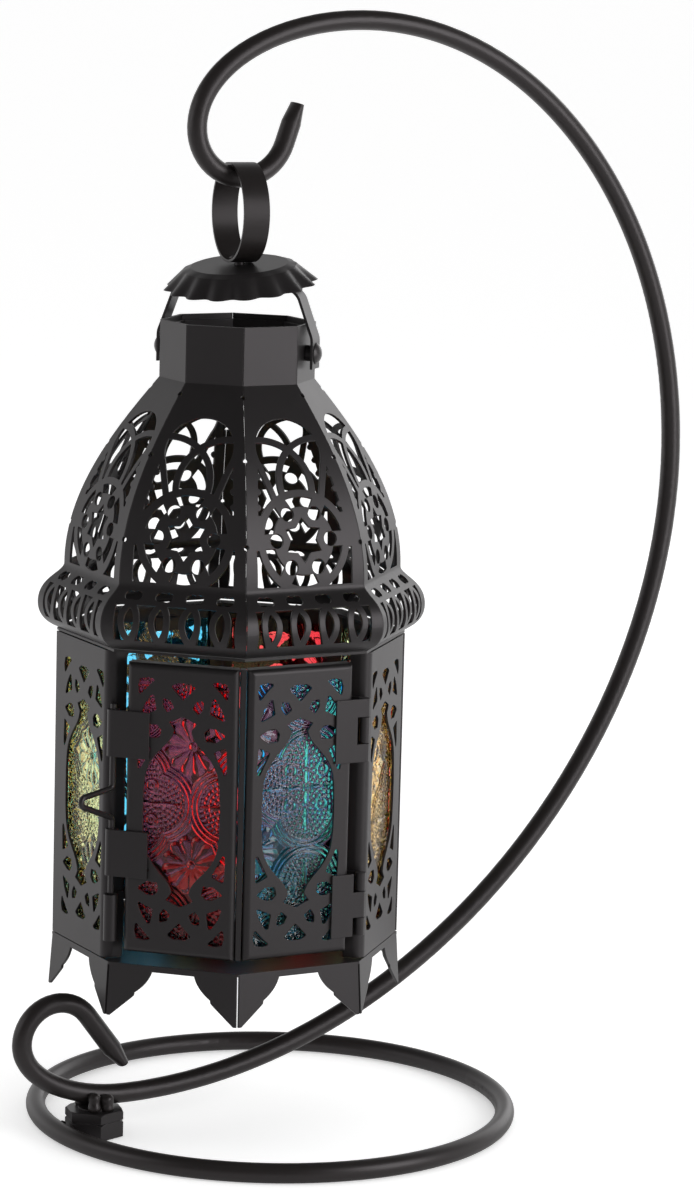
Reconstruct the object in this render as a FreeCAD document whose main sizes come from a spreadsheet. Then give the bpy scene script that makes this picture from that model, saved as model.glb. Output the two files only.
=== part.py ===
import FreeCAD, Part
import math
import os
import Sketcher
from FreeCAD import Placement, Rotation, Vector

# Driving sizes, in millimetres, with angles in degrees. Some follow others by a formula.
SIZES = (
    ("rod_diameter", "6.0"),
    ("ring_radius", "72.8"),
    ("ring_offset", "26.85"),
    ("foot_flat", "0.2"),
    ("stand_length", "228.9"),
    ("curl_radius", "11.9"),
    ("curl_height", "30.5"),
    ("curl_wrap", "53.0"),
    ("curl_tail", "20.0"),
    ("low_offset", "76.85"),
    ("rod_clearance", "0.55"),
    ("bow_fullness", "0.52"),
    ("belly_height", "200.0"),
    ("top_offset", "3.85"),
    ("hook_rise", "46.9"),
    ("hook_offset", "43.85"),
    ("hook_radius", "15.0"),
    ("hook_wrap", "71.0"),
    ("hook_tail", "12.5"),
    ("tip_taper", "6.0"),
    ("tip_thick", "3.3"),
    ("tip_wide", "6.4"),
    ("nut_corner", "9.24"),
    ("nut_height", "5.2"),
    ("jam_height", "2.9"),
    ("nut_turn", "18.5"),
    ("stud_diameter", "10.0"),
    ("thread_gap", "0.1"),
    ("weld_gap", "0.25"),
    ("foot_clearance", "43.4"),
    ("band_radius", "14.9"),
    ("band_wall", "0.8"),
    ("band_width", "8.0"),
    ("band_play", "0.15"),
    ("band_turn", "-7.5"),
    ("cap_crown_radius", "14.6"),
    ("cap_shoulder", "2.6"),
    ("cap_shoulder_drop", "0.9"),
    ("cap_rim_radius", "23.2"),
    ("cap_drop", "6.2"),
    ("cap_flute_depth", "2.0"),
    ("cap_flutes", "16"),
    ("cap_sheet", "1.0"),
    ("cap_tilt", "8.5"),
    ("cap_tilt_turn", "209.5"),
    ("strap_width", "7.0"),
    ("strap_tail", "1.0"),
    ("strap_standoff", "2.6"),
    ("strap_kink", "4.5"),
    ("strap_lean", "4.6"),
    ("strap_shoulder", "17.0"),
    ("strap_flat", "24.6"),
    ("strap_bend", "5.0"),
    ("bail_drop", "25.5"),
    ("rivet_diameter", "3.0"),
    ("rivet_head", "6.4"),
    ("rivet_head_height", "1.6"),
    ("rivet_gap", "0.05"),
    ("pivot_gap", "0.1"),
    ("corner_radius", "53.0"),
    ("sheet", "0.8"),
    ("seat_gap", "0.3"),
    ("foot_height", "16.0"),
    ("foot_width", "13.2"),
    ("foot_flare", "3.6"),
    ("foot_slit", "0.9"),
    ("skirt_band", "1.9"),
    ("body_height", "93.2"),
    ("lap_length", "5.0"),
    ("corner_setback", "0.2"),
    ("hinge_setback", "2.5"),
    ("latch_setback", "3.2"),
    ("jamb_depth", "6.0"),
    ("fold_radius", "3.0"),
    ("frame_width", "6.0"),
    ("gallery_height", "19.5"),
    ("bulge_radius", "58.8"),
    ("bulge_height", "7.6"),
    ("crease_radius", "51.0"),
    ("dome_height", "56.7"),
    ("neck_radius", "23.4"),
    ("neck_height", "17.2"),
    ("neck_rivet_height", "8.5"),
    ("collar_height", "14.0"),
    ("seam_gap", "0.12"),
    ("seam_notch", "0.75"),
    ("pierce_tilt", "27.0"),
    ("rosette_radius", "12.8"),
    ("rosette_rim", "2.2"),
    ("star_radius", "6.5"),
    ("star_notch", "4.2"),
    ("eye_circle", "8.8"),
    ("eye_radius", "2.1"),
    ("spoke_width", "4.3"),
    ("lens_radius", "9.8"),
    ("tracery_bar", "2.2"),
    ("rosette_rise", "13.2"),
    ("arch_radius", "10.5"),
    ("arch_rise", "40.3"),
    ("petal_margin", "4.2"),
    ("loop_pitch", "9.4"),
    ("loop_width", "3.0"),
    ("loop_bar", "1.8"),
    ("loop_edge", "1.2"),
    ("slot_width", "5.4"),
    ("slot_height", "2.6"),
    ("slot_drop", "0.4"),
    ("corner_edge", "0.5"),
    ("corner_drop", "2.5"),
    ("door_bottom", "3.6"),
    ("door_head", "2.4"),
    ("door_height", "=body_height - door_bottom - door_head"),
    ("door_side", "4.38222"),
    ("door_split", "1.2"),
    ("door_reach", "=corner_radius * sin(22.5 deg) - door_split"),
    ("door_width", "=door_reach + corner_radius * sin(22.5 deg) - door_side"),
    ("door_shift", "=(door_side - door_split) / 2"),
    ("fret_width", "=2 * (corner_radius * sin(22.5 deg) - door_side)"),
    ("door_depth", "5.0"),
    ("door_round", "1.6"),
    ("window_side", "3.9"),
    ("window_width", "=fret_width - 2 * window_side"),
    ("window_end", "15.0"),
    ("window_height", "=door_height - 2 * window_end"),
    ("pane_side", "0.4"),
    ("pane_width", "=fret_width - 2 * (sheet + pane_side)"),
    ("pane_end", "0.8"),
    ("pane_height", "=door_height - 2 * (sheet + pane_end)"),
    ("pane_thickness", "2.0"),
    ("glass_gap", "0.3"),
    ("tab_width", "8.0"),
    ("tab_lip", "3.0"),
    ("strip_inset", "2.1"),
    ("strip_depth", "3.2"),
    ("strip_width", "=2 * (door_split * cos(22.5 deg) - seat_gap)"),
    ("leaf_height", "19.0"),
    ("leaf_width", "10.2"),
    ("leaf_end", "5.4"),
    ("leaf_arm", "3.1"),
    ("leaf_gap", "0.1"),
    ("upper_hinge", "61.1"),
    ("lower_hinge", "8.2"),
    ("pin_diameter", "1.6"),
    ("pin_gap", "0.05"),
    ("knuckle_wall", "0.75"),
    ("knuckle_gap", "0.25"),
    ("frame_leaf_depth", "5.0"),
    ("wire_diameter", "1.8"),
    ("guide_gap", "0.15"),
    ("guide_width", "11.8"),
    ("guide_height", "14.0"),
    ("upper_guide", "62.3"),
    ("lower_guide", "26.3"),
    ("handle_reach", "18.3"),
    ("handle_height", "9.0"),
    ("handle_tip_rise", "7.4"),
    ("handle_rise", "3.2"),
    ("wire_bend", "1.5"),
    ("bolt_rise", "1.6"),
    ("bolt_tip_gap", "0.4"),
    ("keeper_height", "14.0"),
    ("keeper_bottom", "6.4"),
    ("keeper_gap", "0.35"),
    ("cup_radius", "20.8"),
    ("cup_height", "8.0"),
    ("cup_rivet_height", "0.7"),
    ("candle_radius", "19.0"),
    ("candle_height", "15.0"),
    ("candle_wall", "0.4"),
    ("wax_depth", "12.5"),
    ("wick_radius", "0.9"),
    ("wick_rise", "7.0"),
)

doc = FreeCAD.newDocument("candle_lantern")
sizes = doc.addObject("Spreadsheet::Sheet", "sizes")
for row, (alias, text) in enumerate(SIZES, start=1):
    sizes.set("A%d" % row, alias)
    sizes.set("B%d" % row, text)
    sizes.setAlias("B%d" % row, alias)
doc.recompute()
V = {alias: float(sizes.get(alias)) for alias, text in SIZES}

SIDES = 8
STEP = 360.0 / SIDES
HALF = math.radians(STEP / 2.0)
UP = Vector(0, 0, 1)
ROUND = 4.0 / 3.0 * (math.sqrt(2.0) - 1.0)
nodes = []


def polar(radius, angle, height=0.0):
    """Point at a radius and an angle in degrees."""
    turn = math.radians(angle)
    return Vector(radius * math.cos(turn), radius * math.sin(turn), height)


def bound(kind, name, **formulas):
    """Document object whose sizes follow the sheet."""
    item = doc.addObject(kind, name)
    for prop, formula in formulas.items():
        item.setExpression(prop, formula)
    return item


def boolean(kind, name, base, tool):
    """Cut, Fuse or Common of two document objects."""
    item = doc.addObject("Part::" + kind, name)
    item.Base = base
    item.Tool = tool
    return item


def feature(name, shape, placement=Placement()):
    """Document object with a shape made from the sheet's sizes."""
    item = doc.addObject("Part::Feature", name)
    item.Shape = shape
    item.Placement = placement.multiply(shape.Placement)
    return item


def node(item, label):
    """Register a document object as one sub-part."""
    item.Label = label
    nodes.append(item)
    return item


def face_of(points):
    """Flat face inside a closed polygon."""
    return Part.Face(Part.makePolygon(list(points) + [points[0]]))


def disc(x, y, radius):
    """Flat round face."""
    return Part.Face(Part.Wire(Part.makeCircle(radius, Vector(x, y, 0))))


def softened(face, radius):
    """The same face with its corners rounded."""
    return face.makeOffset2D(-radius).makeOffset2D(radius)


def spline_edge(points):
    """Smooth edge through points."""
    curve = Part.BSplineCurve()
    curve.interpolate(points)
    return curve.toShape()


def prisms(faces, direction):
    """One solid per face of the given flat shapes."""
    return [single.extrude(direction) for item in faces for single in item.Faces]


def arc_through(p, q, r):
    """Centre and radius of the circle through three flat points."""
    circle = Part.Arc(p, q, r).toShape().Curve
    return circle.Center, circle.Radius


def rounded_path(points, radius):
    """Wire through points with its corners rounded."""
    edges = []
    last = points[0]
    for before, corner, after in zip(points, points[1:], points[2:]):
        back = (before - corner).normalize()
        on = (after - corner).normalize()
        half = back.getAngle(on) / 2.0
        reach = radius / math.tan(half)
        start = corner + back * reach
        end = corner + on * reach
        middle = corner + (back + on).normalize() * (radius / math.sin(half) - radius)
        edges.append(Part.makeLine(last, start))
        edges.append(Part.Arc(start, middle, end).toShape())
        last = end
    edges.append(Part.makeLine(last, points[-1]))
    return Part.Wire(edges)


def swept_bar(path, radius):
    """Round bar along a wire."""
    first = path.OrderedEdges[0]
    start = first.valueAt(first.FirstParameter)
    section = Part.Wire(Part.makeCircle(radius, start, first.tangentAt(first.FirstParameter)))
    return path.makePipeShell([section], True, False)


def strip(points, thickness):
    """Flat face of a bent sheet: the open line of points and its offset to the left."""
    far = []
    for index, point in enumerate(points):
        sides = []
        if index > 0:
            sides.append((point - points[index - 1]).normalize())
        if index < len(points) - 1:
            sides.append((points[index + 1] - point).normalize())
        normals = [Vector(-side.y, side.x, 0) for side in sides]
        total = normals[0]
        for other in normals[1:]:
            total = total + other
        far.append(point + total * (thickness * len(normals) / (total * total)))
    return face_of(list(points) + far[::-1])


# Frames: lantern axis, heights along the hanging chain, and the eight faces.
rod_radius = V["rod_diameter"] / 2.0
sheet = V["sheet"]
apothem = V["corner_radius"] * math.cos(HALF)
side_half = V["corner_radius"] * math.sin(HALF)
lantern_x = -V["hook_offset"]
lantern_z = V["foot_clearance"] + V["foot_height"]
frame_z = V["body_height"] + V["seat_gap"]
gallery_z = frame_z + sheet + V["seat_gap"]
crease_z = gallery_z + V["gallery_height"]
neck_z = crease_z + V["dome_height"]
rivet_z = neck_z + V["neck_rivet_height"]
cap_z = lantern_z + rivet_z + V["bail_drop"]
cap_slope = math.tan(math.radians(V["cap_tilt"]))
over_turn = math.radians(V["cap_tilt_turn"] - V["band_turn"])
cap_over = cap_slope * abs(math.cos(over_turn)) * V["band_width"] / 2.0
cap_over += (cap_slope * math.sin(over_turn)) ** 2 * V["band_radius"] / 2.0 + V["rivet_gap"]
band_z = cap_z + cap_over + V["band_radius"]
band_inner = V["band_radius"] - V["band_wall"]
hook_inner = V["hook_radius"] - rod_radius
seat_rise = V["hook_radius"] - math.sqrt(hook_inner ** 2 - (V["band_width"] / 2.0) ** 2)
hook_z = band_z + band_inner - V["band_play"] - seat_rise
bail_angle = -STEP
lantern = Placement(Vector(lantern_x, 0, lantern_z), Rotation())


def face_frame(index):
    """Frame on a body face: X along the face, Y up, Z outward."""
    out = polar(1.0, STEP * index)
    along = polar(1.0, STEP * index + 90.0)
    return Placement(out * apothem, Rotation(along, UP, out, "XYZ"))


def on_face(index):
    """Frame of a body face in the part's frame."""
    return lantern.multiply(face_frame(index))


# Base ring: round bar with a narrow flat to stand on.
ring_bar = bound("Part::Torus", "ring_bar", Radius1="sizes.ring_radius", Radius2="sizes.rod_diameter / 2")
ring_bar.Placement = Placement(Vector(-V["ring_offset"], 0, rod_radius - V["foot_flat"]), Rotation())
below = bound("Part::Box", "ring_below", Length="4 * sizes.ring_radius", Width="4 * sizes.ring_radius",
              Height="sizes.rod_diameter")
below.Placement.Base = Vector(-V["ring_offset"] - 2.0 * V["ring_radius"], -2.0 * V["ring_radius"],
                              -V["rod_diameter"])
node(boolean("Cut", "base_ring", ring_bar, below), "base_ring")

# Stand rod: the bar's centre line runs through its outermost points, all in one plane.
left_x = rod_radius - V["stand_length"] / 2.0
right_x = V["stand_length"] / 2.0 - rod_radius
curl = Vector(left_x + V["curl_radius"], 0, V["curl_height"])
nut_z = V["weld_gap"]
jam_z = nut_z + V["nut_height"] + V["thread_gap"]
low = Vector(-V["low_offset"], 0, jam_z + V["jam_height"] + V["rod_clearance"] + rod_radius)
belly = Vector(right_x, 0, V["belly_height"])
crown = Vector(-V["top_offset"], 0, hook_z + V["hook_rise"])
hook = Vector(lantern_x, 0, hook_z + V["hook_radius"])
hook_side = hook - Vector(V["hook_radius"], 0, 0)
curl_side = Vector(left_x, 0, V["curl_height"])


def upright(radius, angle):
    """Point at an angle in degrees in the rod's plane."""
    turn = math.radians(angle)
    return Vector(radius * math.cos(turn), 0, radius * math.sin(turn))


def bow(start, end, rising, fullness):
    """Curve between two outermost points, leaving along X or along Z."""
    span = end - start
    across = Vector(span.x, 0, 0) * fullness
    along = Vector(0, 0, span.z) * fullness
    first, last = (along, across) if rising else (across, along)
    curve = Part.BezierCurve()
    curve.setPoles([start, start + first, end - last, end])
    return curve


curl_out = 90.0 - V["curl_wrap"]
curl_end = curl + upright(V["curl_radius"], curl_out)
curl_run = V["curl_tail"] - V["tip_taper"]
curl_tip = curl_end - upright(curl_run, curl_out + 90.0)
curl_mid = curl + upright(V["curl_radius"], (curl_out + 180.0) / 2.0)
hook_end = hook + upright(V["hook_radius"], 270.0 + V["hook_wrap"])
hook_run = V["hook_tail"] - V["tip_taper"]
hook_tip = hook_end + upright(hook_run, V["hook_wrap"])
foot_bow = bow(curl_side, low, True, ROUND)
path = Part.Wire([
    Part.makeLine(curl_tip, curl_end),
    Part.Arc(curl_end, curl_mid, curl_side).toShape(),
    foot_bow.toShape(),
    bow(low, belly, False, V["bow_fullness"]).toShape(),
    bow(belly, crown, True, ROUND).toShape(),
    bow(crown, hook_side, False, ROUND).toShape(),
    Part.Arc(hook_side, hook + upright(V["hook_radius"], 225.0), hook_end).toShape(),
    Part.makeLine(hook_end, hook_tip),
])


def pinched_tip(start, angle):
    """End of the bar, hammered flat across the rod's plane."""
    along = upright(1.0, angle)
    end = start + along * V["tip_taper"]
    thick = V["tip_thick"] / 2.0
    wide = V["tip_wide"] / 2.0
    flat = Part.Ellipse(end + Vector(0, wide, 0), end + upright(thick, angle + 90.0), end)
    round_wire = Part.Wire(Part.makeCircle(rod_radius, start, along))
    return Part.makeLoft([round_wire, Part.Wire(flat.toShape())], True)


bar = swept_bar(path, rod_radius)
bar = bar.fuse([pinched_tip(curl_tip, curl_out - 90.0), pinched_tip(hook_tip, V["hook_wrap"])])
node(feature("stand_rod", bar.removeSplitter()), "stand_rod")

# Stud under the rod, with a lock nut over the nut that is welded inside the ring.
stud_x = V["weld_gap"] + V["nut_corner"] + rod_radius - V["ring_radius"] - V["ring_offset"]
BOW_STEPS = 200
undersides = []
for step in range(1, BOW_STEPS + 1):
    spot = foot_bow.value(step / float(BOW_STEPS))
    slope = foot_bow.tangent(step / float(BOW_STEPS))[0]
    if abs(spot.x - stud_x) <= V["stud_diameter"] / 2.0:
        undersides.append(spot.z - rod_radius / slope.x)
stud_top = min(undersides) - V["weld_gap"]
stud = bound("Part::Cylinder", "rod_stud", Radius="sizes.stud_diameter / 2")
stud.Height = stud_top - nut_z
stud.Placement.Base = Vector(stud_x, 0, nut_z)
node(stud, "rod_stud")
for label, alias, base in (("base_nut", "nut_height", nut_z), ("jam_nut", "jam_height", jam_z)):
    blank = bound("Part::Prism", label + "_blank", Circumradius="sizes.nut_corner", Height="sizes." + alias)
    blank.Polygon = 6
    blank.Placement = Placement(Vector(stud_x, 0, base), Rotation(UP, V["nut_turn"]))
    dome = bound("Part::Cone", label + "_bevel", Radius1="sizes.nut_corner + sizes.%s" % alias,
                 Radius2="sizes.nut_corner * 0.9", Height="sizes." + alias)
    dome.Placement.Base = Vector(stud_x, 0, base)
    bore = bound("Part::Cylinder", label + "_bore", Radius="sizes.stud_diameter / 2 + sizes.thread_gap",
                 Height="sizes." + alias)
    bore.Placement.Base = Vector(stud_x, 0, base)
    node(boolean("Cut", label, boolean("Common", label + "_body", blank, dome), bore), label)


# Hanging ring: flat band rolled to a ring, drilled for the rivet.
def origin_plane(body, role):
    """One of a body's own origin planes."""
    return [item for item in body.Origin.OriginFeatures if item.Role == role][0]


band = doc.addObject("PartDesign::Body", "band")
band_sketch = band.newObject("Sketcher::SketchObject", "band_sketch")
band_sketch.AttachmentSupport = [(origin_plane(band, "XY_Plane"), "")]
band_sketch.MapMode = "FlatFace"
for index, formula in enumerate(("sizes.band_radius", "sizes.band_radius - sizes.band_wall")):
    band_sketch.addGeometry(Part.Circle(Vector(0, 0, 0), UP, V["band_radius"] - index), False)
    band_sketch.addConstraint(Sketcher.Constraint("Coincident", index, 3, -1, 1))
    place = band_sketch.addConstraint(Sketcher.Constraint("Radius", index, V["band_radius"] - index))
    band_sketch.setExpression("Constraints[%d]" % place, formula)
band_pad = band.newObject("PartDesign::Pad", "band_pad")
band_pad.Profile = band_sketch
band_pad.SideType = "Symmetric"
band_pad.setExpression("Length", "sizes.band_width")
band_axis = polar(1.0, V["band_turn"])
band.Placement = Placement(Vector(lantern_x, 0, band_z), Rotation(UP, band_axis))
rivet_hole = bound("Part::Cylinder", "top_rivet_hole", Height="sizes.band_radius",
                   Radius="sizes.rivet_diameter / 2 + sizes.rivet_gap")
rivet_hole.Placement.Base = Vector(lantern_x, 0, band_z - 1.5 * V["band_radius"])
node(boolean("Cut", "hanging_ring", band, rivet_hole), "hanging_ring")

# Smoke cap: flat crown and a fluted skirt, loose on its rivet and leaning to one side.
flutes = int(V["cap_flutes"])
crown_points = []
shoulder_points = []
rim_points = []
for index in range(flutes * 4):
    turn = 360.0 * index / (flutes * 4)
    wave = (0.0, 0.4, 1.0, 0.4)[index % 4] * V["cap_flute_depth"]
    crown_points.append(polar(V["cap_crown_radius"], turn))
    shoulder_points.append(polar(V["cap_crown_radius"] + V["cap_shoulder"] - 0.2 * wave, turn,
                                 -V["cap_shoulder_drop"]))
    rim_points.append(polar(V["cap_rim_radius"] - wave, turn, -V["cap_drop"]))


def ring_wire(points):
    """Closed smooth wire through points."""
    curve = Part.BSplineCurve()
    curve.interpolate(Points=points, PeriodicFlag=True)
    return Part.Wire(curve.toShape())


cap_wires = [ring_wire(points) for points in (rim_points, shoulder_points, crown_points)]
cap_outer = Part.makeLoft(cap_wires, True, True)
cap_inner = cap_outer.translated(Vector(0, 0, -V["cap_sheet"]))
rivet_bore = V["rivet_diameter"] / 2.0 + V["rivet_gap"]
cap_bore_r = rivet_bore / math.cos(math.radians(V["cap_tilt"])) + cap_slope * V["cap_sheet"]
cap_bore = Part.makeCylinder(cap_bore_r, 4.0 * V["cap_sheet"], Vector(0, 0, -3.0 * V["cap_sheet"]))
cap_place = Placement(Vector(lantern_x, 0, cap_z), Rotation())
cap_lean = Placement(Vector(lantern_x, 0, cap_z),
                     Rotation(polar(1.0, V["cap_tilt_turn"] + 90.0), V["cap_tilt"]))
node(feature("smoke_cap", cap_outer.cut(cap_inner).cut(cap_bore), cap_lean), "smoke_cap")

# Bail strap: one bent strip under the cap, turned to the two pivot rivets.
neck_apothem = V["neck_radius"] * math.cos(HALF)
leg_r = neck_apothem + V["strap_standoff"]
under_turn = math.radians(V["cap_tilt_turn"] - bail_angle)
cap_under = abs(math.cos(under_turn)) * V["strap_flat"] + abs(math.sin(under_turn)) * V["strap_width"]
cap_thick = V["cap_sheet"] / math.cos(math.radians(V["cap_tilt"]))
cap_under = cap_slope * cap_under / 2.0 + cap_thick + V["rivet_gap"]
strap_top = V["bail_drop"] - cap_under
half_strap = [
    Vector(leg_r, 0, -V["strap_width"] / 2.0 - V["strap_tail"]),
    Vector(leg_r, 0, V["strap_kink"]),
    Vector(leg_r - V["strap_lean"], 0, V["strap_shoulder"]),
    Vector(V["strap_flat"] / 2.0, 0, strap_top - sheet / 2.0),
]
strap_path = half_strap + [Vector(-point.x, 0, point.z) for point in half_strap[::-1]]
strap_start = half_strap[0]
half_wide = V["strap_width"] / 2.0
strap_section = Part.makePolygon([
    strap_start + Vector(x, y, 0)
    for x, y in ((-sheet / 2.0, -half_wide), (sheet / 2.0, -half_wide), (sheet / 2.0, half_wide),
                 (-sheet / 2.0, half_wide), (-sheet / 2.0, -half_wide))
])
strap = rounded_path(strap_path, V["strap_bend"]).makePipeShell([strap_section], True, False)
pivot_bore = V["rivet_diameter"] / 2.0 + V["pivot_gap"]
strap = strap.cut([
    Part.makeCylinder(pivot_bore, 4.0 * leg_r, Vector(-2.0 * leg_r, 0, 0), Vector(1, 0, 0)),
    Part.makeCylinder(rivet_bore, V["bail_drop"], Vector(0, 0, V["strap_shoulder"])),
])
bail = Placement(Vector(lantern_x, 0, lantern_z + rivet_z), Rotation(UP, bail_angle))
node(feature("bail_strap", strap, bail), "bail_strap")


def button(radius, height):
    """Domed rivet head standing on the XY plane."""
    ball = (radius ** 2 + height ** 2) / (2.0 * height)
    turn = math.asin(radius / ball) / 2.0
    edge = Vector(radius, 0, 0)
    top = Vector(0, 0, height)
    middle = Vector(ball * math.sin(turn), 0, height - ball + ball * math.cos(turn))
    outline = Part.Wire([
        Part.makeLine(Vector(0, 0, 0), edge),
        Part.Arc(edge, middle, top).toShape(),
        Part.makeLine(top, Vector(0, 0, 0)),
    ])
    return Part.Face(outline).revolve(Vector(0, 0, 0), UP, 360.0)


def rivet(levels, shank, head, height, shoulder=()):
    """Rivet along Z: heads outside the two levels, and perhaps a wider shoulder between."""
    low_level, high_level = levels
    solid = Part.makeCylinder(shank, high_level - low_level, Vector(0, 0, low_level))
    over = button(head, height)
    over.translate(Vector(0, 0, high_level))
    under = button(head, height)
    under.rotate(Vector(0, 0, 0), Vector(1, 0, 0), 180.0)
    under.translate(Vector(0, 0, low_level))
    pieces = [over, under]
    if shoulder:
        pieces.append(Part.makeCylinder(shoulder[0], shoulder[2] - shoulder[1], Vector(0, 0, shoulder[1])))
    return solid.fuse(pieces).removeSplitter()


# Rivets: one through ring, cap and strap, two that the lantern hangs on.
shank_r = V["rivet_diameter"] / 2.0
head_r = V["rivet_head"] / 2.0
band_sag = band_inner - math.sqrt(band_inner ** 2 - head_r ** 2)
top_high = cap_over + V["rivet_gap"] + V["band_wall"] + band_sag
top_low = -cap_under - sheet - V["rivet_gap"]
top_shape = rivet((top_low, top_high), shank_r, head_r, V["rivet_head_height"])
node(feature("top_rivet", top_shape, cap_place), "top_rivet")
collar_apothem = neck_apothem - sheet - V["seat_gap"]
tail_level = collar_apothem - sheet - V["rivet_gap"]
head_level = leg_r + sheet / 2.0 + V["pivot_gap"]
shoulder_span = (0.75 * head_r, neck_apothem + V["rivet_gap"], leg_r - sheet / 2.0 - V["pivot_gap"])
bail_shape = rivet((tail_level, head_level), shank_r, head_r, V["rivet_head_height"], shoulder_span)
for label, turn in (("bail_rivet_near", bail_angle), ("bail_rivet_far", bail_angle + 180.0)):
    out = polar(1.0, turn)
    spot = Placement(Vector(0, 0, rivet_z), Rotation(UP, out))
    node(feature(label, bail_shape.copy(), lantern.multiply(spot)), label)

# Neck collar and top frame: eight-sided rings.
half_turn = Rotation(UP, STEP / 2.0)


def eight_ring(label, base, height, outer, inner):
    """Eight-sided tube from two prisms that follow the sheet."""
    blocks = []
    for suffix, formula in (("_outer", outer), ("_inner", inner)):
        block = bound("Part::Prism", label + suffix, Circumradius=formula, Height=height)
        block.Polygon = SIDES
        block.Placement = Placement(Vector(lantern_x, 0, lantern_z + base), half_turn)
        blocks.append(block)
    return boolean("Cut", label + "_tube", blocks[0], blocks[1])


collar_outer = "sizes.neck_radius - (sizes.sheet + sizes.seat_gap) / cos(22.5 deg)"
collar_inner = "sizes.neck_radius - (2 * sizes.sheet + sizes.seat_gap) / cos(22.5 deg)"
collar_z = neck_z + V["neck_rivet_height"] - V["collar_height"] / 2.0
collar = eight_ring("neck_collar", collar_z, "sizes.collar_height", collar_outer, collar_inner)
pivot_drill = bound("Part::Cylinder", "pivot_drill", Height="4 * sizes.neck_radius",
                    Radius="sizes.rivet_diameter / 2 + sizes.rivet_gap")
drill_out = polar(1.0, bail_angle)
drill_start = Vector(lantern_x, 0, lantern_z + rivet_z) - drill_out * (2.0 * V["neck_radius"])
pivot_drill.Placement = Placement(drill_start, Rotation(UP, drill_out))
node(boolean("Cut", "neck_collar", collar, pivot_drill), "neck_collar")
frame_inner = "sizes.corner_radius - sizes.corner_setback - sizes.frame_width"
top_frame = eight_ring("top_frame", frame_z, "sizes.sheet", "sizes.corner_radius - sizes.corner_setback",
                       frame_inner)
node(top_frame, "top_frame")

# Dome petal: one sheet bent through gallery, dome and neck, drawn as its side view.
bulge_a = V["bulge_radius"] * math.cos(HALF)
crease_a = V["crease_radius"] * math.cos(HALF)
bulge_z = gallery_z + V["bulge_height"]
neck_top = neck_z + V["neck_height"]
drop_z = crease_z - bulge_z
dome_run = crease_a - neck_apothem
bends = (
    (Vector(apothem, 0, gallery_z),
     Vector(apothem + 0.5 * (bulge_a - apothem), 0, gallery_z + 0.15 * V["bulge_height"]),
     Vector(bulge_a, 0, bulge_z - ROUND * V["bulge_height"]),
     Vector(bulge_a, 0, bulge_z)),
    (Vector(bulge_a, 0, bulge_z),
     Vector(bulge_a, 0, bulge_z + 0.63 * drop_z),
     Vector(crease_a, 0, crease_z - 0.25 * drop_z),
     Vector(crease_a, 0, crease_z)),
    (Vector(crease_a, 0, crease_z),
     Vector(crease_a, 0, crease_z + 0.39 * V["dome_height"]),
     Vector(neck_apothem + 0.474 * dome_run, 0, neck_z - 0.281 * V["dome_height"]),
     Vector(neck_apothem, 0, neck_z)),
)
SAMPLES = 12
outer_runs = []
inner_runs = []
for poles in bends:
    curve = Part.BezierCurve()
    curve.setPoles(list(poles))
    outer_run = []
    inner_run = []
    for index in range(SAMPLES + 1):
        along = index / float(SAMPLES)
        point = curve.value(along)
        run = curve.tangent(along)[0]
        outer_run.append(point)
        inner_run.append(point - Vector(run.z, 0, -run.x) * sheet)
    outer_runs.append(outer_run)
    inner_runs.append(inner_run)
neck_bottom = outer_runs[-1][-1]
dome_in = outer_runs[-1][-1] - outer_runs[-1][-2]
lean = math.atan2(-dome_in.x, dome_in.z)
mitre = Vector(neck_apothem - sheet, 0, neck_z - sheet * math.tan(lean / 2.0))
inner_runs[-1][-1] = mitre
neck_rim = Vector(neck_apothem, 0, neck_top)
neck_in = Vector(neck_apothem - sheet, 0, neck_top)
edges = [spline_edge(run) for run in outer_runs]
edges += [Part.makeLine(neck_bottom, neck_rim), Part.makeLine(neck_rim, neck_in)]
edges.append(Part.makeLine(neck_in, mitre))
edges += [spline_edge(run[::-1]) for run in inner_runs[::-1]]
edges.append(Part.makeLine(inner_runs[0][0], outer_runs[0][0]))
side_view = Part.Face(Part.Wire(edges))
side_view.translate(Vector(0, -V["corner_radius"], 0))
petal_slab = side_view.extrude(Vector(0, 2.0 * V["corner_radius"], 0))
seam = V["seam_gap"] / 2.0 / math.sin(HALF)
reach = 2.0 * V["bulge_radius"]
wedge_face = face_of([Vector(seam, 0, 0), Vector(seam, 0, 0) + polar(reach, -STEP / 2.0),
                      Vector(seam, 0, 0) + polar(reach, STEP / 2.0)])
wedge = wedge_face.extrude(Vector(0, 0, 2.0 * neck_top))
petal_sheet = feature("petal_sheet", petal_slab.common(wedge))

# Petal piercing, drawn square to a tilted view of the dome: across the petal and up it.
tilt = math.radians(V["pierce_tilt"])
view_out = Vector(math.cos(tilt), 0, math.sin(tilt))
view_up = Vector(-math.sin(tilt), 0, math.cos(tilt))
view_plane = Placement(view_out * apothem, Rotation(Vector(0, 1, 0), view_up, view_out, "XYZ"))
run_points = [point for run in outer_runs for point in run]


def petal_level(point):
    """Height of a point in the tilted view."""
    return point.x * view_up.x + point.z * view_up.z


def petal_half(level):
    """Half width of the petal at a height in the tilted view."""
    above = next(index for index, point in enumerate(run_points) if petal_level(point) > level)
    low, high = run_points[above - 1], run_points[above]
    share = (level - petal_level(low)) / (petal_level(high) - petal_level(low))
    return (low.x + share * (high.x - low.x)) * math.tan(HALF) - V["seam_gap"]


def lens(x, y, width, height):
    """Pointed oval face."""
    low_tip = Vector(x, y - height / 2.0, 0)
    high_tip = Vector(x, y + height / 2.0, 0)
    right = Part.Arc(low_tip, Vector(x + width / 2.0, y, 0), high_tip).toShape()
    left = Part.Arc(high_tip, Vector(x - width / 2.0, y, 0), low_tip).toShape()
    return Part.Face(Part.Wire([right, left]))


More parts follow.
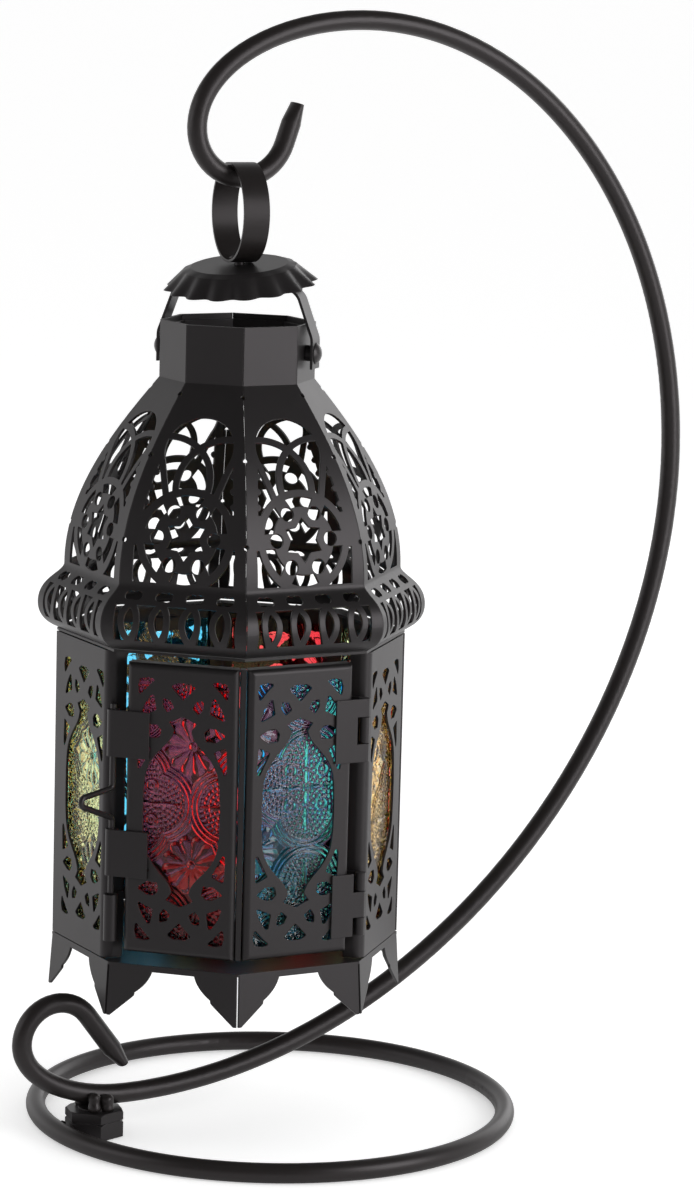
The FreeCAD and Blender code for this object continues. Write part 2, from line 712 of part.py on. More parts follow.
def bar_between(start, end, width):
    """Flat bar face from point to point."""
    run = (end - start).normalize()
    side = Vector(-run.y, run.x, 0) * (width / 2.0)
    return face_of([start + side, end + side, end - side, start - side])


gallery_t = petal_level(outer_runs[0][0])
crease_t = petal_level(outer_runs[2][0])
neck_t = petal_level(neck_bottom)
rosette_t = crease_t + V["rosette_rise"]
arch_t = crease_t + V["arch_rise"]
margin = V["petal_margin"]
rim_r = V["rosette_radius"] + V["rosette_rim"]
bar_w = V["tracery_bar"]
holes = []

# Loop band of the gallery, with the slots above it.
band_low = gallery_t + V["loop_edge"]
band_high = gallery_t + 0.61 * (crease_t - gallery_t)
band_mid = (band_low + band_high) / 2.0
band_tall = band_high - band_low
band_half = petal_half(gallery_t) - margin / 2.0
loops = [V["loop_pitch"] * step for step in (-1.5, -0.5, 0.5, 1.5)]
field = face_of([Vector(-band_half, band_low, 0), Vector(band_half, band_low, 0),
                 Vector(band_half, band_high, 0), Vector(-band_half, band_high, 0)])
loop_outer = V["loop_width"] + 2.0 * V["loop_bar"]
band_solid = [lens(x, band_mid, loop_outer, band_tall + 2.0 * V["loop_bar"]) for x in loops]
holes.append(field.cut(band_solid))
holes += [lens(x, band_mid, V["loop_width"], band_tall - V["loop_bar"]) for x in loops]
slot_t = (band_high + crease_t) / 2.0 - V["slot_drop"]
holes += [lens(x, slot_t, V["slot_width"], V["slot_height"]) for x in loops]

# Rosette: a star, six round eyes about it and six curved slots inside the rim.
middle = Vector(0, rosette_t, 0)
star = []
for step in range(6):
    star.append(middle + polar(V["star_notch"], 60.0 * step))
    star.append(middle + polar(V["star_radius"], 60.0 * step + 30.0))
holes.append(face_of(star))
eyes = [middle + polar(V["eye_circle"], 60.0 * step) for step in range(6)]
holes += [disc(eye.x, eye.y, V["eye_radius"]) for eye in eyes]
spokes = [bar_between(middle, middle + polar(rim_r, 60.0 * step), V["spoke_width"]) for step in range(6)]
holes.append(disc(0, rosette_t, V["rosette_radius"]).cut([disc(0, rosette_t, V["lens_radius"])] + spokes))

# Round-headed window above the rosette, crossed by two curved bars.
arch_r = V["arch_radius"]
foot_half = 0.32 * arch_r
arch = disc(0, arch_t, arch_r).fuse(face_of([
    Vector(-foot_half, rosette_t, 0), Vector(foot_half, rosette_t, 0),
    Vector(0.97 * arch_r, arch_t - 0.2 * arch_r, 0), Vector(-0.97 * arch_r, arch_t - 0.2 * arch_r, 0)]))
arch = arch.removeSplitter()
rosette_disc = disc(0, rosette_t, rim_r)
crossing = []
for hand in (-1.0, 1.0):
    centre, radius = arc_through(Vector(-0.97 * arch_r * hand, arch_t + 0.38 * arch_r, 0),
                                 Vector(0, arch_t + 0.04 * arch_r, 0),
                                 Vector(0.48 * arch_r * hand, arch_t - 1.19 * arch_r, 0))
    crossing.append(disc(centre.x, centre.y, radius + 0.45 * bar_w).cut(
        disc(centre.x, centre.y, radius - 0.45 * bar_w)))
holes.append(arch.cut([rosette_disc] + crossing))

# Side windows beside the arch and corner windows below the rosette.
arch_rim = 0.9 * bar_w
shoulder = 0.97 * (arch_r + arch_rim)
arch_outer = disc(0, arch_t, arch_r + arch_rim).fuse(face_of([
    Vector(-foot_half - arch_rim, rosette_t, 0), Vector(foot_half + arch_rim, rosette_t, 0),
    Vector(shoulder, arch_t - 0.2 * arch_r, 0), Vector(-shoulder, arch_t - 0.2 * arch_r, 0)]))
arch_outer = arch_outer.removeSplitter()
levels = [rosette_t + V["rosette_radius"] * (0.6 + 0.185 * step) for step in range(7)]
for hand in (-1.0, 1.0):
    outside = [Vector(hand * (petal_half(level) - 0.9 * margin), level, 0) for level in levels]
    inside = [Vector(hand * bar_w, levels[-1], 0), Vector(hand * bar_w, levels[0], 0)]
    scallops = [disc(point.x, point.y, 0.45 * bar_w) for point in outside[1::2]]
    holes.append(face_of(outside + inside).cut([rosette_disc, arch_outer] + scallops))
    corner_half = petal_half(crease_t) - 0.9 * margin
    corner_low = crease_t + V["corner_edge"]
    corner_high = rosette_t - V["corner_drop"]
    corner = face_of([Vector(hand * bar_w, corner_low, 0), Vector(hand * corner_half, corner_low, 0),
                      Vector(hand * corner_half, corner_high, 0), Vector(hand * bar_w, corner_high, 0)])
    holes.append(corner.cut([rosette_disc]))

# Notches in the seams, where the tabs of one petal grip the next.
for share in (0.19, 0.61, 0.94):
    level = crease_t + share * (neck_t - crease_t)
    holes += [disc(hand * petal_half(level), level, V["seam_notch"]) for hand in (-1.0, 1.0)]
piercing = Part.makeCompound(prisms(holes, UP * V["corner_radius"] * 1.5))
piercing.Placement = view_plane
petal_piercing = feature("petal_piercing", piercing)
petal_master = boolean("Cut", "petal_master", petal_sheet, petal_piercing)
doc.recompute()
neck_drill = Part.makeCylinder(rivet_bore, neck_apothem, Vector(neck_apothem / 2.0, 0, rivet_z),
                               Vector(1, 0, 0))
drilled = petal_master.Shape.cut(neck_drill)
for index in range(SIDES):
    label = "dome_petal_%d" % (index + 1)
    shape = drilled if index in (3, 7) else petal_master.Shape
    turn = Placement(Vector(lantern_x, 0, lantern_z), Rotation(UP, STEP * index))
    node(feature(label, shape.copy(), turn), label)

# Panel piercing: an ogee window with leaf holes in the corners, the same on every side.
# The leaf outlines are drawn for a door of the LEAF_DOOR size and stretched to the real one.
door_top = V["door_bottom"] + V["door_height"]
door_mid = V["door_bottom"] + V["door_height"] / 2.0
window_x = V["window_width"] / 2.0
window_y = V["window_height"] / 2.0
OGEE = ((0.225, 0.858), (0.342, 0.745), (0.533, 0.656), (0.758, 0.546), (0.917, 0.417), (0.983, 0.25))
ogee_side = [Vector(x * window_x, y * window_y, 0) for x, y in OGEE]
ogee_side.append(Vector(window_x, 0, 0))
ogee_side += [Vector(point.x, -point.y, 0) for point in ogee_side[-2::-1]]
horn = Vector(0.358 * window_x, 0.934 * window_y, 0)
tip = Vector(0, window_y, 0)
right_edge = spline_edge(ogee_side)
left_edge = spline_edge([Vector(-point.x, point.y, 0) for point in ogee_side])
ends = []
for hand in (1.0, -1.0):
    for side in (1.0, -1.0):
        shoulder_at = Vector(side * ogee_side[0].x, hand * ogee_side[0].y, 0)
        horn_at = Vector(side * horn.x, hand * horn.y, 0)
        ends.append(Part.makeLine(shoulder_at, horn_at))
        ends.append(Part.makeLine(horn_at, Vector(0, hand * tip.y, 0)))
window = Part.Face(Part.Wire(Part.__sortEdges__([right_edge, left_edge] + ends)))
LEAVES = (
    ((8.4, 4.4), (11.0, 4.0), (13.5, 4.5), (14.1, 6.6), (13.7, 9.6), (10.3, 6.0)),
    ((9.0, 9.2), (9.9, 9.1), (11.9, 11.9), (13.4, 15.9), (8.2, 13.6)),
    ((6.3, 9.8), (6.3, 12.2), (4.9, 14.2), (2.8, 12.5), (3.9, 10.4)),
    ((6.6, 19.4), (8.0, 17.9), (10.0, 17.9), (13.5, 19.7), (10.3, 22.0), (7.1, 21.8)),
    ((9.6, 25.0), (13.6, 23.2), (13.9, 30.0), (13.5, 32.6)),
)
LEAF_HEAD = ((-3.9, 6.2), (-1.8, 5.1), (1.8, 5.1), (3.9, 6.2), (0.0, 10.2))
LEAF_ROUND = 0.5
LEAF_DOOR = (31.8, 87.2)
leaf_x = V["fret_width"] / LEAF_DOOR[0]
leaf_y = V["door_height"] / LEAF_DOOR[1]
leaf_faces = []
for outline in LEAVES:
    for side in (1.0, -1.0):
        for hand in (1.0, -1.0):
            leaf_faces.append(softened(face_of([
                Vector(side * x * leaf_x, hand * (V["door_height"] / 2.0 - y * leaf_y), 0)
                for x, y in outline]), LEAF_ROUND))
for hand in (1.0, -1.0):
    leaf_faces.append(softened(face_of([
        Vector(x * leaf_x, hand * (V["door_height"] / 2.0 - y * leaf_y), 0)
        for x, y in LEAF_HEAD]), LEAF_ROUND))
panel_piercing = Part.makeCompound(prisms([window] + leaf_faces, UP * 4.0 * sheet))
panel_piercing.translate(Vector(0, door_mid, -2.5 * sheet))

# Bent tabs behind a panel hold its pane.
pane_front = -sheet - V["glass_gap"]
pane_back = pane_front - V["pane_thickness"]
lip_front = pane_back - V["glass_gap"]
pane_top = door_mid + V["pane_height"] / 2.0
pane_low = door_mid - V["pane_height"] / 2.0
tabs = []
for edge, hand in ((pane_top, 1.0), (pane_low, -1.0)):
    web_v = edge + hand * V["glass_gap"]
    tabs.append(Part.makeBox(V["tab_width"], sheet, sheet / 2.0 - lip_front,
                             Vector(-V["tab_width"] / 2.0, min(web_v, web_v + hand * sheet),
                                    lip_front - sheet)))
    lip_v = (web_v + hand * sheet, edge - hand * V["tab_lip"])
    tabs.append(Part.makeBox(V["tab_width"], abs(lip_v[1] - lip_v[0]), sheet,
                             Vector(-V["tab_width"] / 2.0, min(lip_v), lip_front - sheet)))

# Door tray: pressed sheet with rounded front edges, open at the back.
tray = doc.addObject("PartDesign::Body", "door_tray")
tray_sketch = tray.newObject("Sketcher::SketchObject", "door_sketch")
tray_sketch.AttachmentSupport = [(origin_plane(tray, "XY_Plane"), "")]
tray_sketch.MapMode = "FlatFace"
door_near = V["door_reach"] - V["door_width"]
corners = [Vector(x, y, 0) for x, y in (
    (door_near, V["door_bottom"]), (V["door_reach"], V["door_bottom"]),
    (V["door_reach"], door_top), (door_near, door_top))]
for index in range(4):
    tray_sketch.addGeometry(Part.LineSegment(corners[index], corners[(index + 1) % 4]), False)
for index in range(4):
    tray_sketch.addConstraint(Sketcher.Constraint("Coincident", index, 2, (index + 1) % 4, 1))
for index, kind in ((1, "Vertical"), (2, "Horizontal"), (3, "Vertical")):
    tray_sketch.addConstraint(Sketcher.Constraint(kind, index))
tray_sketch.addConstraint(Sketcher.Constraint("Horizontal", 0))
for kind, args, formula in (
    ("DistanceX", (0, 1, 0, 2), "sizes.door_width"),
    ("DistanceX", (-1, 1, 0, 2), "sizes.door_reach"),
    ("DistanceY", (1, 1, 1, 2), "sizes.door_height"),
    ("DistanceY", (-1, 1, 0, 1), "sizes.door_bottom"),
):
    at = tray_sketch.addConstraint(Sketcher.Constraint(kind, *args, V[formula.split(".")[1]]))
    tray_sketch.setExpression("Constraints[%d]" % at, formula)
tray_pad = tray.newObject("PartDesign::Pad", "door_pad")
tray_pad.Profile = tray_sketch
tray_pad.Reversed = True
tray_pad.setExpression("Length", "sizes.door_depth")
doc.recompute()


def face_at(item, height, across=None):
    """Name of the flat face with its middle at a height, or at a distance across."""
    for index, flat in enumerate(item.Shape.Faces, start=1):
        middle_at = flat.CenterOfMass
        if abs(middle_at.z - height) < 0.01 and (across is None or abs(middle_at.x - across) < 0.01):
            return "Face%d" % index
    raise ValueError("no face at that height")


# The wall next to the other half of the door leans back, along the corner between the two.
tray_mitre = tray.newObject("PartDesign::Draft", "door_mitre")
tray_mitre.Base = (tray_pad, [face_at(tray_pad, -V["door_depth"] / 2.0, V["door_reach"])])
tray_mitre.NeutralPlane = (tray_pad, [face_at(tray_pad, 0.0)])
tray_mitre.Angle = STEP / 2.0
tray_mitre.Reversed = True
doc.recompute()
tray_round = tray.newObject("PartDesign::Fillet", "door_edge")
tray_round.Base = (tray_mitre, [face_at(tray_mitre, 0.0)])
tray_round.setExpression("Radius", "sizes.door_round")
doc.recompute()
tray_shell = tray.newObject("PartDesign::Thickness", "door_shell")
tray_shell.Base = (tray_round, [face_at(tray_round, -V["door_depth"])])
tray_shell.Reversed = True
tray_shell.setExpression("Value", "sizes.sheet")
tray.Tip = tray_shell
doc.recompute()
door_aside = Placement(Vector(V["door_shift"], 0, 0), Rotation())
door_cutter = feature("door_piercing", panel_piercing, door_aside)
door_pierced = boolean("Cut", "door_pierced", tray, door_cutter)
door_tabs = feature("door_tabs", tabs[0].fuse(tabs[1:]), door_aside)
door_master = boolean("Fuse", "door_master", door_pierced, door_tabs)
doc.recompute()
door_mirror = doc.addObject("Part::Mirroring", "door_mirror")
door_mirror.Source = door_master
door_mirror.Normal = Vector(1, 0, 0)
doc.recompute()
for label, index, half in (("door_panel_left", 5, door_master), ("door_panel_right", 6, door_mirror)):
    node(feature(label, half.Shape.copy(), on_face(index)), label)

# Side panels: plain edge, lap behind the next side, and a jamb beside the door.
diagonal = math.radians(STEP)
lap_bend = Vector(side_half - (sheet + V["seat_gap"]) / math.sin(diagonal), 0, 0)
lap_end = lap_bend + Vector(math.cos(diagonal), -math.sin(diagonal), 0) * V["lap_length"]
plain_edge = Vector(V["corner_setback"] - side_half, 0, 0)
hinge_edge = Vector(V["hinge_setback"] - side_half, 0, 0)
latch_edge = Vector(side_half - V["latch_setback"], 0, 0)
jamb = Vector(0, -V["jamb_depth"], 0)


def folded(points):
    """Flat face of a sheet that always folds to the left, with round folds."""
    far = strip(points, sheet).OuterWire.OrderedVertexes[len(points):]
    near_run = rounded_path(points, V["fold_radius"])
    far_run = rounded_path([corner.Point for corner in far], V["fold_radius"] - sheet)
    near_end = Part.makeLine(points[-1], far[0].Point)
    far_end = Part.makeLine(far[-1].Point, points[0])
    return Part.Face(Part.Wire(near_run.Edges + [near_end] + far_run.Edges + [far_end]))


def panel_shape(outline):
    """Folded sheet in a face frame, pierced and with its tabs."""
    solid = folded(outline).extrude(UP * (V["body_height"] - V["seat_gap"]))
    solid = solid.transformGeometry(FreeCAD.Matrix(1, 0, 0, 0, 0, 0, 1, V["seat_gap"], 0, 1, 0, 0))
    return solid.cut(panel_piercing).fuse(tabs).removeSplitter()


plain_panel = panel_shape([lap_end, lap_bend, plain_edge])
hinge_panel = panel_shape([lap_end, lap_bend, hinge_edge, hinge_edge + jamb])
latch_panel = panel_shape([latch_edge + jamb, latch_edge, plain_edge])
side_panels = ((4, latch_panel), (3, plain_panel), (2, plain_panel), (1, plain_panel), (0, plain_panel),
               (7, hinge_panel))
for order, (index, shape) in enumerate(side_panels, start=1):
    node(feature("side_panel_%d" % order, shape.copy(), on_face(index)), "side_panel_%d" % order)

# Glass panes, one behind each panel.
for label, index, aside in (("side_glass_1", 4, 0.0), ("side_glass_2", 3, 0.0), ("side_glass_3", 2, 0.0),
                            ("side_glass_4", 1, 0.0), ("side_glass_5", 0, 0.0), ("side_glass_6", 7, 0.0),
                            ("door_glass_left", 5, V["door_shift"]),
                            ("door_glass_right", 6, -V["door_shift"])):
    pane = bound("Part::Box", label, Length="sizes.pane_width", Width="sizes.pane_height",
                 Height="sizes.pane_thickness")
    pane.Placement = on_face(index).multiply(
        Placement(Vector(aside - V["pane_width"] / 2.0, pane_low, pane_back), Rotation()))
    node(pane, label)

# Corner strip between the leaning walls of the two halves of the door.
strip_bar = bound("Part::Box", "door_corner_strip", Length="sizes.strip_depth", Width="sizes.strip_width",
                  Height="sizes.door_height")
strip_at = Vector(V["corner_radius"] - V["strip_inset"] - V["strip_depth"], -V["strip_width"] / 2.0, 0)
strip_bar.Placement = Placement(Vector(lantern_x, 0, lantern_z + V["door_bottom"]),
                                Rotation(UP, 5.5 * STEP)).multiply(Placement(strip_at, Rotation()))
node(strip_bar, "door_corner_strip")


def upright_tube(x, w, low_v, high_v, outer, inner):
    """Tube along a face frame's upward axis."""
    start = Vector(x, low_v, w)
    up = Vector(0, 1, 0)
    return (Part.makeCylinder(outer, high_v - low_v, start, up),
            Part.makeCylinder(inner, high_v - low_v, start, up))


def block(x, v, w):
    """Box in a face frame from three spans."""
    return Part.makeBox(x[1] - x[0], v[1] - v[0], w[1] - w[0], Vector(x[0], v[0], w[0]))


# Hinges: door leaves in front, frame leaves beside the jamb, pins between.
pin_r = V["pin_diameter"] / 2.0
knuckle_in = pin_r + V["pin_gap"]
knuckle_out = knuckle_in + V["knuckle_wall"]
plate_w = (V["leaf_gap"], V["leaf_gap"] + sheet)
axis_w = plate_w[1] - knuckle_out
arm_u = side_half - V["leaf_arm"]
leaf_u = (side_half - V["leaf_width"], arm_u)
axis_in = axis_w * math.sin(diagonal)
axis_7 = Vector(-side_half - axis_in, axis_w * math.cos(diagonal), 0)
strip_u = (axis_7.x + pin_r, axis_7.x + pin_r + sheet)
end = V["leaf_end"]
tall = V["leaf_height"]
gap = V["knuckle_gap"]
spans = {"outer": ((0.0, end), (tall - end, tall)), "middle": ((end + gap, tall - end - gap),)}
for which, base, door_spans, frame_spans in (("upper", V["upper_hinge"], "outer", "middle"),
                                             ("lower", V["lower_hinge"], "middle", "outer")):
    leaf_v = (base, base + tall)
    leaf = block(leaf_u, leaf_v, plate_w)
    bores = []
    for span in spans[door_spans]:
        v = (base + span[0], base + span[1])
        outer, inner = upright_tube(side_half, axis_w, v[0], v[1], knuckle_out, knuckle_in)
        leaf = leaf.fuse([block((arm_u - sheet, side_half), v, plate_w), outer])
        bores.append(inner)
    label = "hinge_leaf_" + which
    node(feature(label, leaf.cut(bores).removeSplitter(), on_face(6)), label)
    frame = block(strip_u, leaf_v, (axis_7.y - V["frame_leaf_depth"], axis_7.y))
    bores = []
    for span in spans[frame_spans]:
        v = (base + span[0], base + span[1])
        outer, inner = upright_tube(axis_7.x, axis_7.y, v[0], v[1], knuckle_out, knuckle_in)
        frame = frame.fuse(outer)
        bores.append(inner)
    for span in spans[door_spans]:
        v = (base + span[0] - gap, base + span[1] + gap)
        clear = upright_tube(axis_7.x, axis_7.y, v[0], v[1], knuckle_out + 2.0 * gap, knuckle_in)[0]
        bores.append(clear)
    label = "hinge_frame_" + which
    node(feature(label, frame.cut(bores).removeSplitter(), on_face(7)), label)
    label = "hinge_pin_" + which
    pin = bound("Part::Cylinder", label, Radius="sizes.pin_diameter / 2", Height="sizes.leaf_height")
    pin.Placement = on_face(6).multiply(Placement(Vector(side_half, base, axis_w),
                                                  Rotation(Vector(1, 0, 0), -90.0)))
    node(pin, label)

# Latch: two guides on the door, a keeper on the jamb and the wire bolt.
wire_r = V["wire_diameter"] / 2.0
guide_in = wire_r + V["guide_gap"]
guide_out = guide_in + sheet
bolt_w = plate_w[1] - guide_out
for which, base in (("upper", V["upper_guide"]), ("lower", V["lower_guide"])):
    v = (base, base + V["guide_height"])
    outer, inner = upright_tube(-side_half, bolt_w, v[0], v[1], guide_out, guide_in)
    plate = block((-side_half, V["guide_width"] - side_half), v, plate_w)
    label = "latch_guide_" + which
    node(feature(label, plate.fuse(outer).cut(inner).removeSplitter(), on_face(5)), label)
keeper_u = side_half + bolt_w * math.sin(diagonal)
keeper_w = bolt_w * math.cos(diagonal)
keeper_v = (V["keeper_bottom"], V["keeper_bottom"] + V["keeper_height"])
keeper_in = wire_r + V["keeper_gap"]
outer, inner = upright_tube(keeper_u, keeper_w, keeper_v[0], keeper_v[1], keeper_in + sheet, keeper_in)
keeper_x = latch_edge.x + V["seat_gap"]
keeper_strip = block((keeper_x, keeper_x + sheet), keeper_v, (keeper_w - V["frame_leaf_depth"], keeper_w))
keeper_shape = outer.fuse(keeper_strip).cut(inner).removeSplitter()
node(feature("latch_keeper", keeper_shape, on_face(4)), "latch_keeper")
bolt_low = keeper_v[1] + V["bolt_tip_gap"]
handle_low = V["lower_guide"] + V["guide_height"] + V["handle_rise"]
handle_high = handle_low + V["handle_height"]
bolt_path = rounded_path([
    Vector(0, 0, bolt_low),
    Vector(0, 0, handle_low),
    Vector(V["handle_reach"], 0, handle_low + V["handle_tip_rise"]),
    Vector(0, 0, handle_high),
    Vector(0, 0, V["upper_guide"] + V["guide_height"] + V["bolt_rise"]),
], V["wire_bend"])
bolt_at = face_frame(5).multVec(Vector(-side_half, 0, bolt_w))
bolt_place = lantern.multiply(Placement(bolt_at, Rotation(UP, 4.5 * STEP)))
node(feature("latch_bolt", swept_bar(bolt_path, wire_r), bolt_place), "latch_bolt")

# Base tray: floor with a flared skirt on each side, cut to two leaf feet.
skirt_half = side_half - V["foot_slit"] / 2.0
inner_foot = skirt_half - V["foot_width"]
FOOT = ((0.08, 0.17), (0.23, 0.345), (0.40, 0.476))
drop_v = V["foot_height"] - V["skirt_band"]
leaf_line = [Vector(inner_foot + fx * V["foot_width"], -V["skirt_band"] - fy * drop_v, 0) for fx, fy in FOOT]
notch = Vector(inner_foot + 0.41 * V["foot_width"], -V["skirt_band"] - 0.54 * drop_v, 0)
barb = Vector(inner_foot + 0.50 * V["foot_width"], -V["skirt_band"] - 0.62 * drop_v, 0)
flare_reach = V["foot_height"] * math.sin(math.radians(V["foot_flare"])) * math.tan(HALF)
foot_side = Vector(skirt_half + flare_reach, -V["foot_height"], 0)
foot_tip = foot_side - Vector(V["foot_slit"], 0, 0)
right_run = [Vector(inner_foot, -V["skirt_band"], 0)] + leaf_line
skirt_edges = []
for hand in (1.0, -1.0):
    run = [Vector(hand * point.x, point.y, 0) for point in right_run]
    skirt_edges.append(spline_edge(run))
    chain = [run[-1]] + [Vector(hand * point.x, point.y, 0)
                         for point in (notch, barb, foot_tip, foot_side, Vector(skirt_half, 0, 0))]
    skirt_edges += [Part.makeLine(a, b) for a, b in zip(chain, chain[1:])]
skirt_edges.append(Part.makeLine(Vector(-inner_foot, -V["skirt_band"], 0),
                                 Vector(inner_foot, -V["skirt_band"], 0)))
skirt_edges.append(Part.makeLine(Vector(-skirt_half, 0, 0), Vector(skirt_half, 0, 0)))
skirt = Part.Face(Part.Wire(Part.__sortEdges__(skirt_edges))).extrude(UP * -sheet)
skirt.rotate(Vector(0, 0, 0), Vector(1, 0, 0), -V["foot_flare"])
floor = face_of([polar(V["corner_radius"], STEP * (index + 0.5), -sheet) for index in range(SIDES)])
floor = floor.extrude(UP * sheet)
skirts = []
for index in range(SIDES):
    piece = skirt.copy()
    piece.Placement = face_frame(index).multiply(piece.Placement)
    skirts.append(piece)
floor_bore = Part.makeCylinder(rivet_bore, 4.0 * sheet, Vector(0, 0, -2.0 * sheet))
node(feature("base_tray", floor.fuse(skirts).cut(floor_bore).removeSplitter(), lantern), "base_tray")

# Candle cup, its rivet and the candle.
cup_z = lantern_z + V["rivet_gap"]
cup_wall = bound("Part::Cylinder", "cup_wall", Radius="sizes.cup_radius", Height="sizes.cup_height")
cup_wall.Placement.Base = Vector(lantern_x, 0, cup_z)
cup_inside = bound("Part::Cylinder", "cup_inside", Radius="sizes.cup_radius - sizes.sheet",
                   Height="sizes.cup_height")
cup_inside.Placement.Base = Vector(lantern_x, 0, cup_z + sheet)
cup_hole = bound("Part::Cylinder", "cup_hole", Radius="sizes.rivet_diameter / 2 + sizes.rivet_gap",
                 Height="4 * sizes.sheet")
cup_hole.Placement.Base = Vector(lantern_x, 0, cup_z - sheet)
node(boolean("Cut", "candle_cup", boolean("Cut", "cup_shell", cup_wall, cup_inside), cup_hole), "candle_cup")
cup_levels = (-sheet - V["rivet_gap"], sheet + 2.0 * V["rivet_gap"])
cup_rivet = rivet(cup_levels, shank_r, head_r, V["cup_rivet_height"])
node(feature("cup_rivet", cup_rivet, lantern), "cup_rivet")
candle_z = cup_z + sheet + V["rivet_gap"] + V["cup_rivet_height"] + V["seat_gap"]
shell_out = bound("Part::Cylinder", "shell_outside", Radius="sizes.candle_radius",
                  Height="sizes.candle_height")
shell_out.Placement.Base = Vector(lantern_x, 0, candle_z)
shell_in = bound("Part::Cylinder", "shell_inside", Radius="sizes.candle_radius - sizes.candle_wall",
                 Height="sizes.candle_height")
shell_in.Placement.Base = Vector(lantern_x, 0, candle_z + V["candle_wall"])
node(boolean("Cut", "candle_shell", shell_out, shell_in), "candle_shell")
wax_z = candle_z + V["candle_wall"] + V["rivet_gap"]
wax_body = bound("Part::Cylinder", "wax_body", Height="sizes.wax_depth",
                 Radius="sizes.candle_radius - sizes.candle_wall - sizes.pivot_gap")
wax_body.Placement.Base = Vector(lantern_x, 0, wax_z)
wick_hole = bound("Part::Cylinder", "wick_hole", Radius="sizes.wick_radius + sizes.rivet_gap",
                  Height="2 * sizes.wax_depth")
wick_hole.Placement.Base = Vector(lantern_x, 0, wax_z - V["wax_depth"] / 2.0)
node(boolean("Cut", "candle_wax", wax_body, wick_hole), "candle_wax")
wick = bound("Part::Cylinder", "candle_wick", Radius="sizes.wick_radius",
             Height="sizes.wax_depth + sizes.wick_rise")
wick.Placement.Base = Vector(lantern_x, 0, wax_z)
node(wick, "candle_wick")

# Every object must be sound before the sub-parts are written.
doc.recompute()
for item in doc.Objects:
    if "Invalid" in item.State or "Error" in item.State:
        raise RuntimeError("%s did not build" % item.Name)
os.makedirs("parts", exist_ok=True)
for item in nodes:
    if item.Shape.isNull() or not item.Shape.isValid():
        raise RuntimeError("%s has no sound shape" % item.Label)
    item.Shape.exportStep("parts/%s.step" % item.Label)
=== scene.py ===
import math

import bpy
import numpy as np
from mathutils import Euler, Matrix, Vector


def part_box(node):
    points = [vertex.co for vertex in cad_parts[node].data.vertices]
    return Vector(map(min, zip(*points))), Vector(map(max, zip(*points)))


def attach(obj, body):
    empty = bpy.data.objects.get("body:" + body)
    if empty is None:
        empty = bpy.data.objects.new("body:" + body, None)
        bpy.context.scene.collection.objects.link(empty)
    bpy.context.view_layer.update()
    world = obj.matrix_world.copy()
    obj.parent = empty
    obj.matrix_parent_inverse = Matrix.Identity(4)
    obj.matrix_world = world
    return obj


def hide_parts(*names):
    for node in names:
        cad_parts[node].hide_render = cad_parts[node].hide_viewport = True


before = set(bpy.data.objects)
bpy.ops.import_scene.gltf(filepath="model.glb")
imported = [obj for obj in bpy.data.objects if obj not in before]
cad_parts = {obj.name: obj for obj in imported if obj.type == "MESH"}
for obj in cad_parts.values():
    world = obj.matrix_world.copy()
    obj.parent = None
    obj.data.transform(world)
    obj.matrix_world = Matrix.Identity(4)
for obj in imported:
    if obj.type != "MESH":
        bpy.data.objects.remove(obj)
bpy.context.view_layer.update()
scene = bpy.context.scene
MM = 0.001
SIDES = 8
SIDE_STEP = math.radians(45.0)

# Shader helpers.


def add_node(tree, kind, place, **values):
    """New node with its properties and plain input values."""
    node = tree.nodes.new(kind)
    node.location = place
    for key, value in values.items():
        if key in node.inputs:
            node.inputs[key].default_value = value
        else:
            setattr(node, key, value)
    return node


def new_group(name, inputs, outputs):
    """Empty shader node group with named sockets."""
    tree = bpy.data.node_groups.new(name, "ShaderNodeTree")
    for label, kind, value in inputs:
        socket = tree.interface.new_socket(label, in_out="INPUT", socket_type=kind)
        socket.default_value = value
    for label, kind in outputs:
        tree.interface.new_socket(label, in_out="OUTPUT", socket_type=kind)
    entry = add_node(tree, "NodeGroupInput", (-900, 0))
    leave = add_node(tree, "NodeGroupOutput", (900, 0))
    return tree, entry, leave


def new_material(name):
    """Material with an empty Principled shader wired to its output."""
    material = bpy.data.materials.new(name)
    material.use_nodes = True
    tree = material.node_tree
    tree.nodes.clear()
    out = add_node(tree, "ShaderNodeOutputMaterial", (600, 0))
    shader = add_node(tree, "ShaderNodeBsdfPrincipled", (300, 0))
    tree.links.new(shader.outputs["BSDF"], out.inputs["Surface"])
    return material, tree, shader


def place_group(tree, group, place, **values):
    """Group node in a material with its own values."""
    node = add_node(tree, "ShaderNodeGroup", place)
    node.node_tree = group
    for key, value in values.items():
        node.inputs[key.replace("_", " ")].default_value = value
    return node


# Satin paint over steel: cloudy tone, fine orange peel, rubbed edges.
paint_group, entry, leave = new_group(
    "satin_paint_film",
    (
        ("Paint", "NodeSocketColor", (0.040, 0.037, 0.036, 1.0)),
        ("Rubbed", "NodeSocketColor", (0.075, 0.07, 0.068, 1.0)),
        ("Rub", "NodeSocketFloat", 0.5),
        ("Gloss Spread", "NodeSocketFloat", 0.08),
        ("Base Roughness", "NodeSocketFloat", 0.42),
        ("Peel", "NodeSocketFloat", 0.05),
        ("Nibs", "NodeSocketFloat", 0.5),
    ),
    (("Colour", "NodeSocketColor"), ("Roughness", "NodeSocketFloat"), ("Normal", "NodeSocketVector")),
)
link = paint_group.links.new
coords = add_node(paint_group, "ShaderNodeTexCoord", (-900, 400))
cloud = add_node(paint_group, "ShaderNodeTexNoise", (-650, 450), Scale=38.0, Detail=5.0, Roughness=0.6)
speck = add_node(paint_group, "ShaderNodeTexNoise", (-650, 150), Scale=900.0, Detail=2.0, Roughness=0.5)
link(coords.outputs["Object"], cloud.inputs["Vector"])
link(coords.outputs["Object"], speck.inputs["Vector"])
soft_edge = add_node(paint_group, "ShaderNodeBevel", (-650, -200), samples=4, Radius=0.28 * MM)
true_side = add_node(paint_group, "ShaderNodeNewGeometry", (-650, -420))
